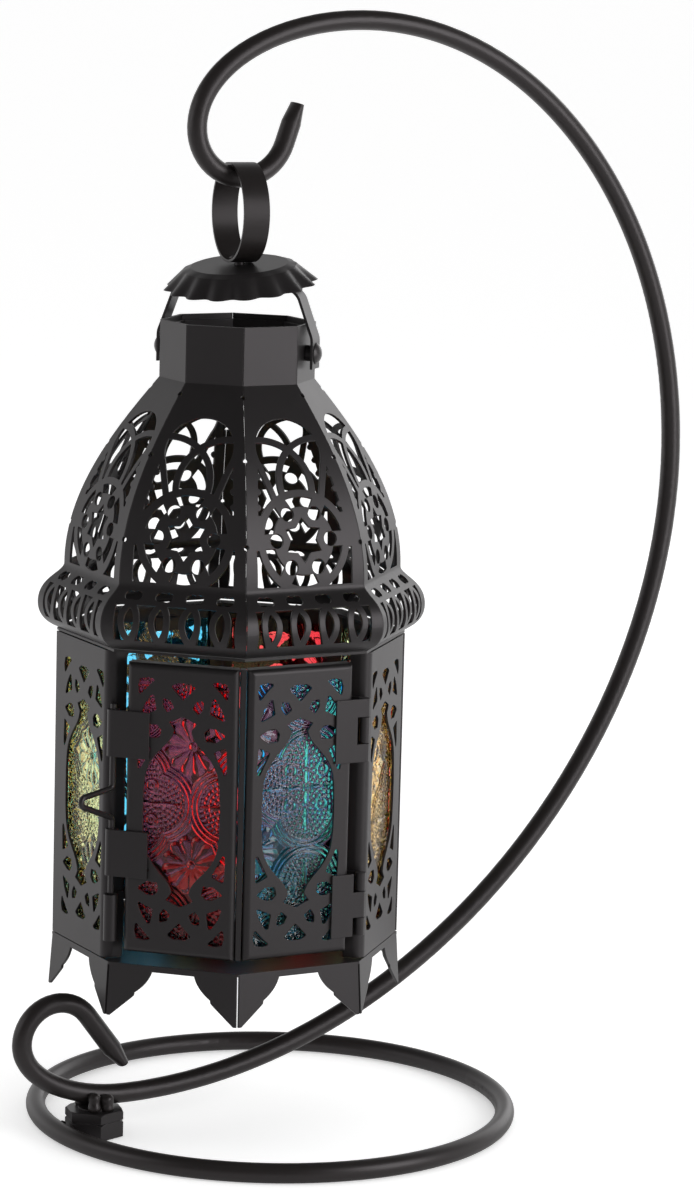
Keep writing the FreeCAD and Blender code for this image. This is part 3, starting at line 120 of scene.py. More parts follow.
edge_dot = add_node(paint_group, "ShaderNodeVectorMath", (-430, -300), operation="DOT_PRODUCT")
link(soft_edge.outputs["Normal"], edge_dot.inputs[0])
link(true_side.outputs["Normal"], edge_dot.inputs[1])
edge_mask = add_node(paint_group, "ShaderNodeMapRange", (-230, -300))
edge_mask.inputs["From Min"].default_value = 0.985
edge_mask.inputs["From Max"].default_value = 0.86
link(edge_dot.outputs["Value"], edge_mask.inputs["Value"])
rub_break = add_node(paint_group, "ShaderNodeMapRange", (-430, 250))
rub_break.inputs["From Min"].default_value = 0.42
rub_break.inputs["From Max"].default_value = 0.62
link(cloud.outputs["Fac"], rub_break.inputs["Value"])
rub_edge = add_node(paint_group, "ShaderNodeMath", (-30, -250), operation="MULTIPLY")
link(edge_mask.outputs["Result"], rub_edge.inputs[0])
link(rub_break.outputs["Result"], rub_edge.inputs[1])
rub_all = add_node(paint_group, "ShaderNodeMath", (150, -250), operation="MULTIPLY")
link(rub_edge.outputs["Value"], rub_all.inputs[0])
link(entry.outputs["Rub"], rub_all.inputs[1])
tone = add_node(paint_group, "ShaderNodeMapRange", (-230, 450))
tone.inputs["To Min"].default_value = 0.78
tone.inputs["To Max"].default_value = 1.22
link(cloud.outputs["Fac"], tone.inputs["Value"])
toned = add_node(paint_group, "ShaderNodeVectorMath", (-30, 450), operation="SCALE")
link(entry.outputs["Paint"], toned.inputs[0])
link(tone.outputs["Result"], toned.inputs["Scale"])
worn = add_node(paint_group, "ShaderNodeMix", (350, 350), data_type="RGBA")
link(rub_all.outputs["Value"], worn.inputs["Factor"])
link(toned.outputs["Vector"], worn.inputs[6])
link(entry.outputs["Rubbed"], worn.inputs[7])
link(worn.outputs[2], leave.inputs["Colour"])
spread = add_node(paint_group, "ShaderNodeMath", (150, 150), operation="MULTIPLY_ADD")
centred = add_node(paint_group, "ShaderNodeMath", (-30, 150), operation="SUBTRACT")
centred.inputs[1].default_value = 0.5
link(cloud.outputs["Fac"], centred.inputs[0])
link(centred.outputs["Value"], spread.inputs[0])
link(entry.outputs["Gloss Spread"], spread.inputs[1])
link(entry.outputs["Base Roughness"], spread.inputs[2])
link(spread.outputs["Value"], leave.inputs["Roughness"])
peel = add_node(paint_group, "ShaderNodeBump", (350, -50), Distance=0.05 * MM)
link(entry.outputs["Peel"], peel.inputs["Strength"])
link(speck.outputs["Fac"], peel.inputs["Height"])
link(soft_edge.outputs["Normal"], peel.inputs["Normal"])
nib_cell = add_node(paint_group, "ShaderNodeTexVoronoi", (-430, -550), Scale=150.0)
link(coords.outputs["Object"], nib_cell.inputs["Vector"])
nib_rare = add_node(paint_group, "ShaderNodeSeparateColor", (-230, -650))
link(nib_cell.outputs["Color"], nib_rare.inputs["Color"])
nib_size = add_node(paint_group, "ShaderNodeMapRange", (-30, -650))
nib_size.inputs["From Min"].default_value = 0.80
nib_size.inputs["From Max"].default_value = 1.0
nib_size.inputs["To Max"].default_value = 0.05
link(nib_rare.outputs["Red"], nib_size.inputs["Value"])
nib_dome = add_node(paint_group, "ShaderNodeMath", (150, -550), operation="SUBTRACT", use_clamp=True)
link(nib_size.outputs["Result"], nib_dome.inputs[0])
link(nib_cell.outputs["Distance"], nib_dome.inputs[1])
nibs = add_node(paint_group, "ShaderNodeBump", (550, -250), Distance=4.0 * MM)
link(entry.outputs["Nibs"], nibs.inputs["Strength"])
link(nib_dome.outputs["Value"], nibs.inputs["Height"])
link(peel.outputs["Normal"], nibs.inputs["Normal"])
link(nibs.outputs["Normal"], leave.inputs["Normal"])


def painted_steel(name, paint, rubbed, rub, roughness, peel_strength, nib_strength):
    """Black painted steel with its own wear."""
    material, tree, shader = new_material(name)
    film = place_group(tree, paint_group, (0, 0), Paint=paint, Rubbed=rubbed, Rub=rub,
                       Base_Roughness=roughness, Peel=peel_strength, Nibs=nib_strength)
    tree.links.new(film.outputs["Colour"], shader.inputs["Base Color"])
    tree.links.new(film.outputs["Roughness"], shader.inputs["Roughness"])
    tree.links.new(film.outputs["Normal"], shader.inputs["Normal"])
    shader.inputs["Metallic"].default_value = 0.0
    shader.inputs["Specular IOR Level"].default_value = 0.5
    shader.inputs["Specular Tint"].default_value = PAINT_SHEEN
    return material


PAINT_SHEEN = (1.0, 0.94, 0.97, 1.0)
BLACK = (0.0118, 0.0106, 0.0108, 1.0)
WARM_BLACK = (0.0135, 0.0112, 0.0106, 1.0)
GREY_STEEL = (0.060, 0.056, 0.056, 1.0)
COPPER = (0.42, 0.19, 0.10, 1.0)
rod_paint = painted_steel("rod_paint", WARM_BLACK, GREY_STEEL, 0.35, 0.40, 0.12, 0.5)
sheet_paint = painted_steel("sheet_paint", BLACK, GREY_STEEL, 0.6, 0.42, 0.05, 0.25)
fitting_paint = painted_steel("fitting_paint", BLACK, GREY_STEEL, 0.8, 0.36, 0.06, 0.3)
rivet_paint = painted_steel("rivet_paint", WARM_BLACK, COPPER, 1.0, 0.34, 0.06, 0.3)

# Coloured glass: the melt is a little uneven in tint.
tint_group, entry, leave = new_group(
    "uneven_tint",
    (
        ("Deep", "NodeSocketColor", (0.4, 0.02, 0.02, 1.0)),
        ("Pale", "NodeSocketColor", (0.7, 0.1, 0.1, 1.0)),
        ("Streaks", "NodeSocketFloat", 30.0),
    ),
    (("Colour", "NodeSocketColor"),),
)
link = tint_group.links.new
coords = add_node(tint_group, "ShaderNodeTexCoord", (-700, 100))
streak = add_node(tint_group, "ShaderNodeTexNoise", (-450, 100), Detail=3.0, Roughness=0.5)
link(coords.outputs["Object"], streak.inputs["Vector"])
link(entry.outputs["Streaks"], streak.inputs["Scale"])
reach = add_node(tint_group, "ShaderNodeMapRange", (-200, 100))
reach.inputs["From Min"].default_value = 0.3
reach.inputs["From Max"].default_value = 0.7
link(streak.outputs["Fac"], reach.inputs["Value"])
mix = add_node(tint_group, "ShaderNodeMix", (100, 100), data_type="RGBA")
link(reach.outputs["Result"], mix.inputs["Factor"])
link(entry.outputs["Deep"], mix.inputs[6])
link(entry.outputs["Pale"], mix.inputs[7])
link(mix.outputs[2], leave.inputs["Colour"])


def coloured_glass(name, deep, pale, streaks):
    """Pressed glass of one colour."""
    material, tree, shader = new_material(name)
    tint = place_group(tree, tint_group, (0, 0), Deep=deep, Pale=pale, Streaks=streaks)
    tree.links.new(tint.outputs["Colour"], shader.inputs["Base Color"])
    shader.inputs["Metallic"].default_value = 0.0
    shader.inputs["Roughness"].default_value = 0.015
    shader.inputs["IOR"].default_value = 1.48
    shader.inputs["Transmission Weight"].default_value = 1.0
    return material


glass = {
    "red_glass": coloured_glass("red_glass", (0.78, 0.025, 0.045, 1.0), (0.91, 0.085, 0.095, 1.0), 30.0),
    "blue_glass": coloured_glass("blue_glass", (0.055, 0.50, 1.0, 1.0), (0.16, 0.78, 1.0, 1.0), 30.0),
    "amber_glass": coloured_glass("amber_glass", (0.92, 0.54, 0.15, 1.0), (1.0, 0.74, 0.32, 1.0), 22.0),
    "green_glass": coloured_glass("green_glass", (0.58, 0.80, 0.46, 1.0), (0.97, 0.90, 0.36, 1.0), 14.0),
}

# Thin drawn aluminium of the candle's shell: upright draw lines and a few soft dents.
foil_group, entry, leave = new_group(
    "drawn_foil",
    (
        ("Metal", "NodeSocketColor", (0.82, 0.82, 0.83, 1.0)),
        ("Line Depth", "NodeSocketFloat", 0.3),
    ),
    (("Colour", "NodeSocketColor"), ("Roughness", "NodeSocketFloat"), ("Normal", "NodeSocketVector")),
)
link = foil_group.links.new
coords = add_node(foil_group, "ShaderNodeTexCoord", (-900, 100))
stretch = add_node(foil_group, "ShaderNodeMapping", (-700, 100), Scale=(1.0, 1.0, 0.04))
lines = add_node(foil_group, "ShaderNodeTexNoise", (-450, 200), Scale=1400.0, Detail=2.0)
dents = add_node(foil_group, "ShaderNodeTexNoise", (-450, -100), Scale=160.0, Detail=1.0)
link(coords.outputs["Object"], stretch.inputs["Vector"])
link(stretch.outputs["Vector"], lines.inputs["Vector"])
link(coords.outputs["Object"], dents.inputs["Vector"])
shade = add_node(foil_group, "ShaderNodeMapRange", (-200, 250))
shade.inputs["To Min"].default_value = 0.86
shade.inputs["To Max"].default_value = 1.08
link(lines.outputs["Fac"], shade.inputs["Value"])
shaded = add_node(foil_group, "ShaderNodeVectorMath", (50, 300), operation="SCALE")
link(entry.outputs["Metal"], shaded.inputs[0])
link(shade.outputs["Result"], shaded.inputs["Scale"])
link(shaded.outputs["Vector"], leave.inputs["Colour"])
rough = add_node(foil_group, "ShaderNodeMapRange", (50, 100))
rough.inputs["To Min"].default_value = 0.22
rough.inputs["To Max"].default_value = 0.42
link(lines.outputs["Fac"], rough.inputs["Value"])
link(rough.outputs["Result"], leave.inputs["Roughness"])
grooves = add_node(foil_group, "ShaderNodeBump", (250, -50), Distance=0.03 * MM)
link(entry.outputs["Line Depth"], grooves.inputs["Strength"])
link(lines.outputs["Fac"], grooves.inputs["Height"])
waves = add_node(foil_group, "ShaderNodeBump", (450, -150), Distance=0.4 * MM, Strength=0.3)
link(dents.outputs["Fac"], waves.inputs["Height"])
link(grooves.outputs["Normal"], waves.inputs["Normal"])
link(waves.outputs["Normal"], leave.inputs["Normal"])

candle_foil, tree, shader = new_material("candle_foil")
foil = place_group(tree, foil_group, (0, 0), Line_Depth=0.4)
tree.links.new(foil.outputs["Colour"], shader.inputs["Base Color"])
tree.links.new(foil.outputs["Roughness"], shader.inputs["Roughness"])
tree.links.new(foil.outputs["Normal"], shader.inputs["Normal"])
shader.inputs["Metallic"].default_value = 1.0


def grained_material(name, low, high, scale, roughness, depth):
    """Two-tone grain with a matching bump, for wax and cotton."""
    material, tree, shader = new_material(name)
    coords = add_node(tree, "ShaderNodeTexCoord", (-900, 0))
    grain = add_node(tree, "ShaderNodeTexNoise", (-650, 0), Scale=scale, Detail=4.0, Roughness=0.6)
    tree.links.new(coords.outputs["Object"], grain.inputs["Vector"])
    mix = add_node(tree, "ShaderNodeMix", (-300, 100), data_type="RGBA")
    mix.inputs[6].default_value = low
    mix.inputs[7].default_value = high
    tree.links.new(grain.outputs["Fac"], mix.inputs["Factor"])
    tree.links.new(mix.outputs[2], shader.inputs["Base Color"])
    bump = add_node(tree, "ShaderNodeBump", (-50, -200), Distance=depth, Strength=0.5)
    tree.links.new(grain.outputs["Fac"], bump.inputs["Height"])
    tree.links.new(bump.outputs["Normal"], shader.inputs["Normal"])
    shader.inputs["Roughness"].default_value = roughness
    return material, shader


white_wax, shader = grained_material(
    "white_wax", (0.78, 0.75, 0.68, 1.0), (0.90, 0.88, 0.83, 1.0), 220.0, 0.42, 0.2 * MM)
shader.inputs["Subsurface Weight"].default_value = 0.35
shader.inputs["Subsurface Radius"].default_value = (1.0, 0.8, 0.55)
shader.inputs["Subsurface Scale"].default_value = 2.0 * MM
cotton_wick, shader = grained_material(
    "cotton_wick", (0.62, 0.58, 0.49, 1.0), (0.86, 0.83, 0.75, 1.0), 1500.0, 0.85, 0.1 * MM)

# Modelling helpers.


def deselect():
    """Nothing selected, object mode."""
    if bpy.context.object and bpy.context.object.mode != "OBJECT":
        bpy.ops.object.mode_set(mode="OBJECT")
    bpy.ops.object.select_all(action="DESELECT")


def activate(piece):
    """Only this piece selected and active."""
    deselect()
    piece.select_set(True)
    bpy.context.view_layer.objects.active = piece


def settle(piece):
    """Place into the mesh, object at the origin."""
    activate(piece)
    bpy.ops.object.transform_apply(location=True, rotation=True, scale=True)


def apply_modifiers(piece):
    """Every modifier into the mesh."""
    activate(piece)
    for modifier in list(piece.modifiers):
        bpy.ops.object.modifier_apply(modifier=modifier.name)


def dress(piece, material, body, angle=35.0):
    """Material, shading and body of a finished piece."""
    piece.data.materials.clear()
    piece.data.materials.append(material)
    activate(piece)
    bpy.ops.object.shade_smooth_by_angle(angle=math.radians(angle))
    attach(piece, body)


def middle_of(node):
    """Middle of a CAD node's box."""
    low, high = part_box(node)
    return (low + high) / 2.0


# Pressed glass panes.

PANE_WIDE = 29.4 * MM
PANE_TALL = 84.0 * MM
PANE_THICK = 2.0 * MM
RELIEF = 0.6 * MM
PANE_CELL = 0.3 * MM
QUATREFOIL_STEP = 35.5
LOBE_OFF = 7.0
LOBE_R = 8.7
DOT_STEP = 1.5
DOT_R = 0.62
OUTER_BAR = (9.8, 3.4, 0.85)
INNER_BAR = (3.2, 2.4, 0.7)
EYE_OFF = 5.2
EYE_R = 1.7
RIDGE_HALF = 0.42
RIDGES = ((0.1, 0.8), (1.5, 1.0), (2.9, 0.9))
FAN_START = 3.7
FAN_BLADES = 3.0
FAN_R = 9.2


def bar(along, across, middle, half_long, half_wide):
    """Lens-shaped bar lying along an axis."""
    room = half_wide * np.clip(1.0 - ((np.abs(along) - middle) / half_long) ** 2, 0.0, 1.0) + 0.001
    return np.clip(1.0 - (across / room) ** 2, 0.0, 1.0)


def pressed_relief(x, y):
    """Height from 0 to 1 of the pressed pattern at millimetre places on the sheet."""
    half = QUATREFOIL_STEP / 2.0
    x = (x + half) % QUATREFOIL_STEP - half
    y = (y + half) % QUATREFOIL_STEP - half
    ax = np.abs(x)
    ay = np.abs(y)
    side_lobe = ax > ay
    lobe_x = np.where(side_lobe, ax - LOBE_OFF, ay - LOBE_OFF)
    lobe_y = np.where(side_lobe, y, x)
    lobe_r = np.hypot(lobe_x, lobe_y)
    outline = lobe_r - LOBE_R
    row = np.floor((LOBE_R - lobe_r) / DOT_STEP)
    row_r = np.maximum(LOBE_R - (row + 0.5) * DOT_STEP, 0.3)
    count = np.maximum(np.round(2.0 * np.pi * row_r / DOT_STEP), 1.0)
    turn = np.arctan2(lobe_y, lobe_x) / (2.0 * np.pi) * count + 0.5 * (row % 2.0)
    dot_along = (turn - np.floor(turn) - 0.5) * 2.0 * np.pi * row_r / count
    dots = np.clip(1.0 - (dot_along ** 2 + (lobe_r - row_r) ** 2) / DOT_R ** 2, 0.0, 1.0) ** 0.5
    bars = np.maximum(bar(x, y, *OUTER_BAR), bar(x, y, *INNER_BAR))
    bars = np.maximum(bars, np.maximum(bar(y, x, *OUTER_BAR), bar(y, x, *INNER_BAR)))
    eye = np.hypot(ax - EYE_OFF, ay - EYE_OFF)
    eyes = np.exp(-((eye - EYE_R) / RIDGE_HALF) ** 2) + np.exp(-(eye / 0.6) ** 2)
    plain = (bars < 0.01) & (eye > EYE_R + 0.7)
    field = np.maximum(0.6 * dots * plain, np.maximum(0.95 * bars, 0.8 * eyes))
    inside = np.where(outline < -0.3, field, 0.0)
    ridges = sum(tall * np.exp(-((outline - off) / RIDGE_HALF) ** 2) for off, tall in RIDGES)
    fan_r = np.hypot(half - ax, half - ay)
    fan_turn = np.arctan2(half - ay, half - ax) / (np.pi / 2.0) * FAN_BLADES
    blade = 2.0 * (fan_turn - np.floor(fan_turn)) - 1.0
    tip = FAN_R - 1.6 * blade ** 2
    petals = np.sqrt(np.clip(1.0 - blade ** 2, 0.0, 1.0))
    petals = petals * np.clip((fan_r - 1.2) / 2.8, 0.0, 1.0) * np.clip((tip - fan_r) / 1.6, 0.0, 1.0)
    button = np.clip(1.0 - (fan_r / 1.2) ** 2, 0.0, 1.0)
    outside = np.where(outline > FAN_START, np.maximum(0.9 * petals, button), 0.0)
    return np.clip(np.maximum(np.maximum(inside, outside), ridges), 0.0, 1.0)


def blank_pane():
    """Fine slab: dense pressed front, one plain back."""
    deselect()
    columns = int(round(PANE_WIDE / PANE_CELL))
    rows = int(round(PANE_TALL / PANE_CELL))
    bpy.ops.mesh.primitive_grid_add(x_subdivisions=columns, y_subdivisions=rows, size=1.0)
    piece = bpy.context.object
    bpy.ops.object.mode_set(mode="EDIT")
    bpy.ops.mesh.select_all(action="SELECT")
    bpy.ops.transform.resize(value=(PANE_WIDE, PANE_TALL, 1.0))
    bpy.ops.transform.translate(value=(0.0, 0.0, -PANE_THICK / 2.0))
    bpy.ops.mesh.extrude_region_move(TRANSFORM_OT_translate={"value": (0.0, 0.0, PANE_THICK - RELIEF)})
    bpy.ops.mesh.select_all(action="DESELECT")
    bpy.ops.object.mode_set(mode="OBJECT")
    flat = np.empty(len(piece.data.polygons) * 3)
    piece.data.polygons.foreach_get("center", flat)
    on_back = np.abs(flat.reshape(-1, 3)[:, 2] + PANE_THICK / 2.0) < 0.01 * MM
    piece.data.polygons.foreach_set("select", on_back)
    bpy.ops.object.mode_set(mode="EDIT")
    bpy.ops.mesh.dissolve_faces()
    bpy.ops.mesh.select_all(action="SELECT")
    bpy.ops.mesh.normals_make_consistent(inside=False)
    bpy.ops.object.mode_set(mode="OBJECT")
    return piece


def pressed_pane(blank, name, node, side, offset, body, slot_name):
    """Copy of the blank with its part of the pattern, behind one panel."""
    piece = blank.copy()
    piece.data = blank.data.copy()
    piece.name = name
    piece.data.name = name
    scene.collection.objects.link(piece)
    spots = np.empty(len(piece.data.vertices) * 3)
    piece.data.vertices.foreach_get("co", spots)
    spots = spots.reshape(-1, 3)
    heights = pressed_relief(spots[:, 0] / MM - offset[0], spots[:, 1] / MM - offset[1])
    rim = np.minimum(PANE_WIDE / 2.0 - np.abs(spots[:, 0]), PANE_TALL / 2.0 - np.abs(spots[:, 1])) > 0.1 * MM
    group = piece.vertex_groups.new(name="pressed")
    front = np.nonzero(rim & (spots[:, 2] > 0.0))[0]
    for index in front:
        group.add([int(index)], float(heights[index]), "REPLACE")
    press = piece.modifiers.new("press", "DISPLACE")
    press.direction = "Z"
    press.mid_level = 0.0
    press.strength = RELIEF
    press.vertex_group = group.name
    apply_modifiers(piece)
    piece.vertex_groups.clear()
    turn = side * SIDE_STEP
    out = Vector((math.cos(turn), math.sin(turn), 0.0))
    along = Vector((-math.sin(turn), math.cos(turn), 0.0))
    up = Vector((0.0, 0.0, 1.0))
    frame_turn = Matrix((along, up, out)).transposed().to_4x4()
    piece.matrix_world = Matrix.Translation(middle_of(node)) @ frame_turn
    settle(piece)
    dress(piece, glass[slot_name], body, angle=80.0)
    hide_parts(node)


# Pane, node, side number, place of the pattern's middle, body and colour.
PANES = (
    ("pane_door_left", "door_glass_left", 5, (-15.0, 1.8), "door", "red_glass"),
    ("pane_door_right", "door_glass_right", 6, (3.5, 7.2), "door", "blue_glass"),
    ("pane_side_1", "side_glass_1", 4, (-15.0, -6.0), "lantern", "green_glass"),
    ("pane_side_2", "side_glass_2", 3, (6.0, 10.0), "lantern", "amber_glass"),
    ("pane_side_3", "side_glass_3", 2, (-3.0, -4.0), "lantern", "blue_glass"),
    ("pane_side_4", "side_glass_4", 1, (9.0, 2.0), "lantern", "red_glass"),
    ("pane_side_5", "side_glass_5", 0, (0.0, 12.0), "lantern", "green_glass"),
    ("pane_side_6", "side_glass_6", 7, (12.0, -9.0), "lantern", "amber_glass"),
)
blank = blank_pane()
for pane in PANES:
    pressed_pane(blank, *pane)
bpy.data.objects.remove(blank)

# Turned pieces and the candle.


def turned(name, profile, segments):
    """Round solid grown ring by ring from a disc through radius and height steps."""
    deselect()
    radius, height = profile[0]
    bpy.ops.mesh.primitive_circle_add(vertices=segments, radius=radius, fill_type="NGON",
                                      location=(0.0, 0.0, height))
    piece = bpy.context.object
    piece.name = name
    piece.data.name = name
    settle(piece)
    bpy.ops.object.mode_set(mode="EDIT")
    bpy.ops.mesh.select_all(action="SELECT")
    for next_radius, next_height in profile[1:]:
        bpy.ops.mesh.extrude_region_move(TRANSFORM_OT_translate={"value": (0.0, 0.0, next_height - height)})
        grow = next_radius / radius
        bpy.ops.transform.resize(value=(grow, grow, 1.0), center_override=(0.0, 0.0, next_height))
        radius, height = next_radius, next_height
    bpy.ops.mesh.select_all(action="SELECT")
    bpy.ops.mesh.normals_make_consistent(inside=False)
    bpy.ops.object.mode_set(mode="OBJECT")
    return piece


def stand_at(piece, place):
    """Piece moved to its place, with the place in its mesh."""
    piece.location = place
    settle(piece)


def in_metres(steps):
    """Millimetre steps as metre steps."""
    return [(radius * MM, height * MM) for radius, height in steps]


def candle_shell():
    """Drawn foil cup: recessed base, rounded foot, straight wall, rolled rim."""
    low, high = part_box("candle_shell")
    out = (high.x - low.x) / 2.0 / MM
    tall = (high.z - low.z) / MM
    steps = [(out - 4.0, 0.7), (out - 3.4, 0.55), (out - 2.9, 0.1), (out - 2.4, 0.0), (out - 1.0, 0.0),
             (out - 0.4, 0.25), (out - 0.12, 0.8), (out - 0.08, 2.0), (out - 0.08, tall - 1.3),
             (out - 0.06, tall - 0.9), (out, tall - 0.6), (out, tall - 0.25), (out - 0.12, tall - 0.05),
             (out - 0.3, tall), (out - 0.45, tall - 0.12), (out - 0.48, tall - 0.5), (out - 0.34, tall - 0.9),
             (out - 0.32, 2.0), (out - 0.4, 1.2), (out - 1.0, 0.9), (out - 2.4, 0.85)]
    piece = turned("candle_foil_cup", in_metres(steps), 96)
    stand_at(piece, ((low.x + high.x) / 2.0, (low.y + high.y) / 2.0, low.z))
    dress(piece, candle_foil, "candle", angle=40.0)
    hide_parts("candle_shell")


def candle_wax():
    """Poured wax: sunken middle, a lip against the foil and a small rise at the wick."""
    low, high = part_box("candle_wax")
    out = (high.x - low.x) / 2.0 / MM - 0.05
    tall = (high.z - low.z) / MM
    steps = [(out - 3.0, 0.6), (out - 1.2, 0.65), (out, 1.4), (out, tall - 0.5), (out - 0.05, tall - 0.1),
             (out - 0.25, tall), (out - 0.6, tall - 0.12), (out - 1.6, tall - 0.45), (out - 5.0, tall - 0.8),
             (out - 10.0, tall - 1.05), (out - 14.0, tall - 1.0), (2.6, tall - 0.75), (1.7, tall - 0.4),
             (1.1, tall)]
    piece = turned("candle_wax_fill", in_metres(steps), 72)
    stand_at(piece, ((low.x + high.x) / 2.0, (low.y + high.y) / 2.0, low.z))
    dress(piece, white_wax, "candle", angle=60.0)
    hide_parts("candle_wax")


def candle_wick():
    """Twisted cotton wick with a slight lean at its top."""
    low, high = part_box("candle_wick")
    tall = high.z - low.z
    radius = (high.x - low.x) / 2.0
    strands = 6
    turns = 28
    deselect()
    bpy.ops.mesh.primitive_circle_add(vertices=3 * strands, radius=radius, fill_type="NGON")
    piece = bpy.context.object
    piece.name = "candle_cotton_wick"
    piece.data.name = piece.name
    for vertex in piece.data.vertices:
        vertex.select = vertex.index % 3 == 0
    for edge in piece.data.edges:
        edge.select = False
    for face in piece.data.polygons:
        face.select = False
    bpy.ops.object.mode_set(mode="EDIT")
    bpy.ops.mesh.select_mode(type="VERT")
    bpy.ops.transform.resize(value=(0.66, 0.66, 1.0), center_override=(0.0, 0.0, 0.0))
    bpy.ops.mesh.select_all(action="SELECT")
    for step in range(turns):
        rise = tall / turns
        lean = 0.06 * MM * max(0.0, step - 0.6 * turns) / (0.4 * turns)
        bpy.ops.mesh.extrude_region_move(TRANSFORM_OT_translate={"value": (lean, 0.0, rise)})
        bpy.ops.transform.rotate(value=math.radians(16.0), orient_axis="Z",
                                 center_override=(0.0, 0.0, (step + 1) * rise))
    bpy.ops.transform.resize(value=(0.7, 0.7, 1.0))
    bpy.ops.mesh.select_all(action="SELECT")
    bpy.ops.mesh.normals_make_consistent(inside=False)
    bpy.ops.object.mode_set(mode="OBJECT")
    stand_at(piece, ((low.x + high.x) / 2.0, (low.y + high.y) / 2.0, low.z))
    dress(piece, cotton_wick, "candle", angle=50.0)
    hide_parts("candle_wick")


candle_shell()
candle_wax()
candle_wick()

# Welds: drips of bead from the rod down to the lock nut, and short beads from nut to ring.


BEAD_RINGS = 14


def weld_bead(name, top, foot, radius, ripples):
    """Rippled bead laid from point to point."""
    top = Vector(top) * MM
    foot = Vector(foot) * MM
    run = foot - top
    steps = []
    for count in range(BEAD_RINGS + 1):
        share = count / float(BEAD_RINGS)
        swell = math.sqrt(max(0.02, 1.0 - (2.0 * share - 1.0) ** 4))
        wave = 1.0 + 0.09 * math.sin(2.0 * math.pi * ripples * share)
        steps.append((radius * MM * swell * wave, share * run.length))
    piece = turned(name, steps, 20)
    piece.rotation_euler = run.to_track_quat("Z", "Y").to_euler()
    stand_at(piece, top)
    dress(piece, rod_paint, "stand", angle=60.0)


stud_middle = middle_of("rod_stud") / MM
nut_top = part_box("jam_nut")[1].z / MM
DRIPS = ((-1.9, 1.9, 14.3, 1.6), (2.0, 2.2, 13.5, 1.2))
RING_WELD = (-96.4, 3.0, 1.1)
for hand, side_word in ((-1.0, "near"), (1.0, "far")):
    for number, (along, bead_radius, top_z, ripples) in enumerate(DRIPS, 1):
        weld_bead("weld_drip_%s_%d" % (side_word, number),
                  (stud_middle.x - hand * along, hand * 3.9, top_z),
                  (stud_middle.x - hand * along * 1.1, hand * 4.8, nut_top - 0.6), bead_radius, ripples)
    weld_bead("weld_ring_%s" % side_word, (RING_WELD[0], hand * RING_WELD[1], 4.6),
              (RING_WELD[0], hand * RING_WELD[1], 1.0), RING_WELD[2], 2)

# CAD nodes.

ROD_NODES = ("base_ring", "stand_rod", "hanging_ring")
FITTINGS = ("rod_stud", "jam_nut", "base_nut", "bail_rivet_near", "bail_rivet_far", "cup_rivet",
            "hinge_pin_upper", "hinge_pin_lower", "latch_bolt")
HIDDEN_FINISH = {"top_rivet": rivet_paint, "candle_shell": candle_foil, "candle_wax": white_wax,
                 "candle_wick": cotton_wick}
HIDDEN_FINISH.update({pane[1]: glass[pane[5]] for pane in PANES})
for name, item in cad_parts.items():
    material = sheet_paint
    if name in ROD_NODES:
        material = rod_paint
    if name in FITTINGS:
        material = fitting_paint
    if name in HIDDEN_FINISH:
        material = HIDDEN_FINISH[name]
    item.data.materials.clear()
    item.data.materials.append(material)

# Camera, light and floor.

CAMERA_AT = Vector((-0.6116, -1.1199, 0.3713))
CAMERA_HEADING = -28.468
CAMERA_PITCH = 9.409
CAMERA_ROLL = 1.49
camera_data = bpy.data.cameras.new("camera")
camera_data.sensor_fit = "VERTICAL"
camera_data.sensor_height = 36.0
camera_data.lens = 126.06
camera_data.clip_start = 0.05
camera = bpy.data.objects.new("camera", camera_data)
scene.collection.objects.link(camera)
aim = Euler((math.radians(90.0 - CAMERA_PITCH), 0.0, math.radians(CAMERA_HEADING))).to_matrix()
aim = aim @ Matrix.Rotation(math.radians(CAMERA_ROLL), 3, "Z")
camera.matrix_world = Matrix.Translation(CAMERA_AT) @ aim.to_4x4()
scene.camera = camera


def soft_box(name, place, target, wide, tall, power):
    """Rectangular studio light."""
    data = bpy.data.lights.new(name, "AREA")
    data.shape = "RECTANGLE"
    data.size = wide
    data.size_y = tall
    data.energy = power
    lamp = bpy.data.objects.new(name, data)
    lamp.location = place
    lamp.rotation_euler = (Vector(place) - Vector(target)).to_track_quat("Z", "Y").to_euler()
    scene.collection.objects.link(lamp)
    return lamp


MIDDLE = (-0.02, 0.0, 0.16)
soft_box("right_box", (0.62, -1.10, 0.48), MIDDLE, 0.7, 0.95, 8.8)
soft_box("left_box", (-1.15, 0.25, 0.5), MIDDLE, 0.7, 0.7, 2.0)
soft_box("back_box", (1.05, 0.6, 0.5), MIDDLE, 0.8, 0.8, 2.6)


def seen_directly(tree, place):
    """Light path node, and one for rays from the camera or through glass."""
    path = add_node(tree, "ShaderNodeLightPath", place)
    either = add_node(tree, "ShaderNodeMath", (place[0] + 220, place[1]), operation="MAXIMUM")
    tree.links.new(path.outputs["Is Camera Ray"], either.inputs[0])
    tree.links.new(path.outputs["Is Transmission Ray"], either.inputs[1])
    return path, either.outputs["Value"]


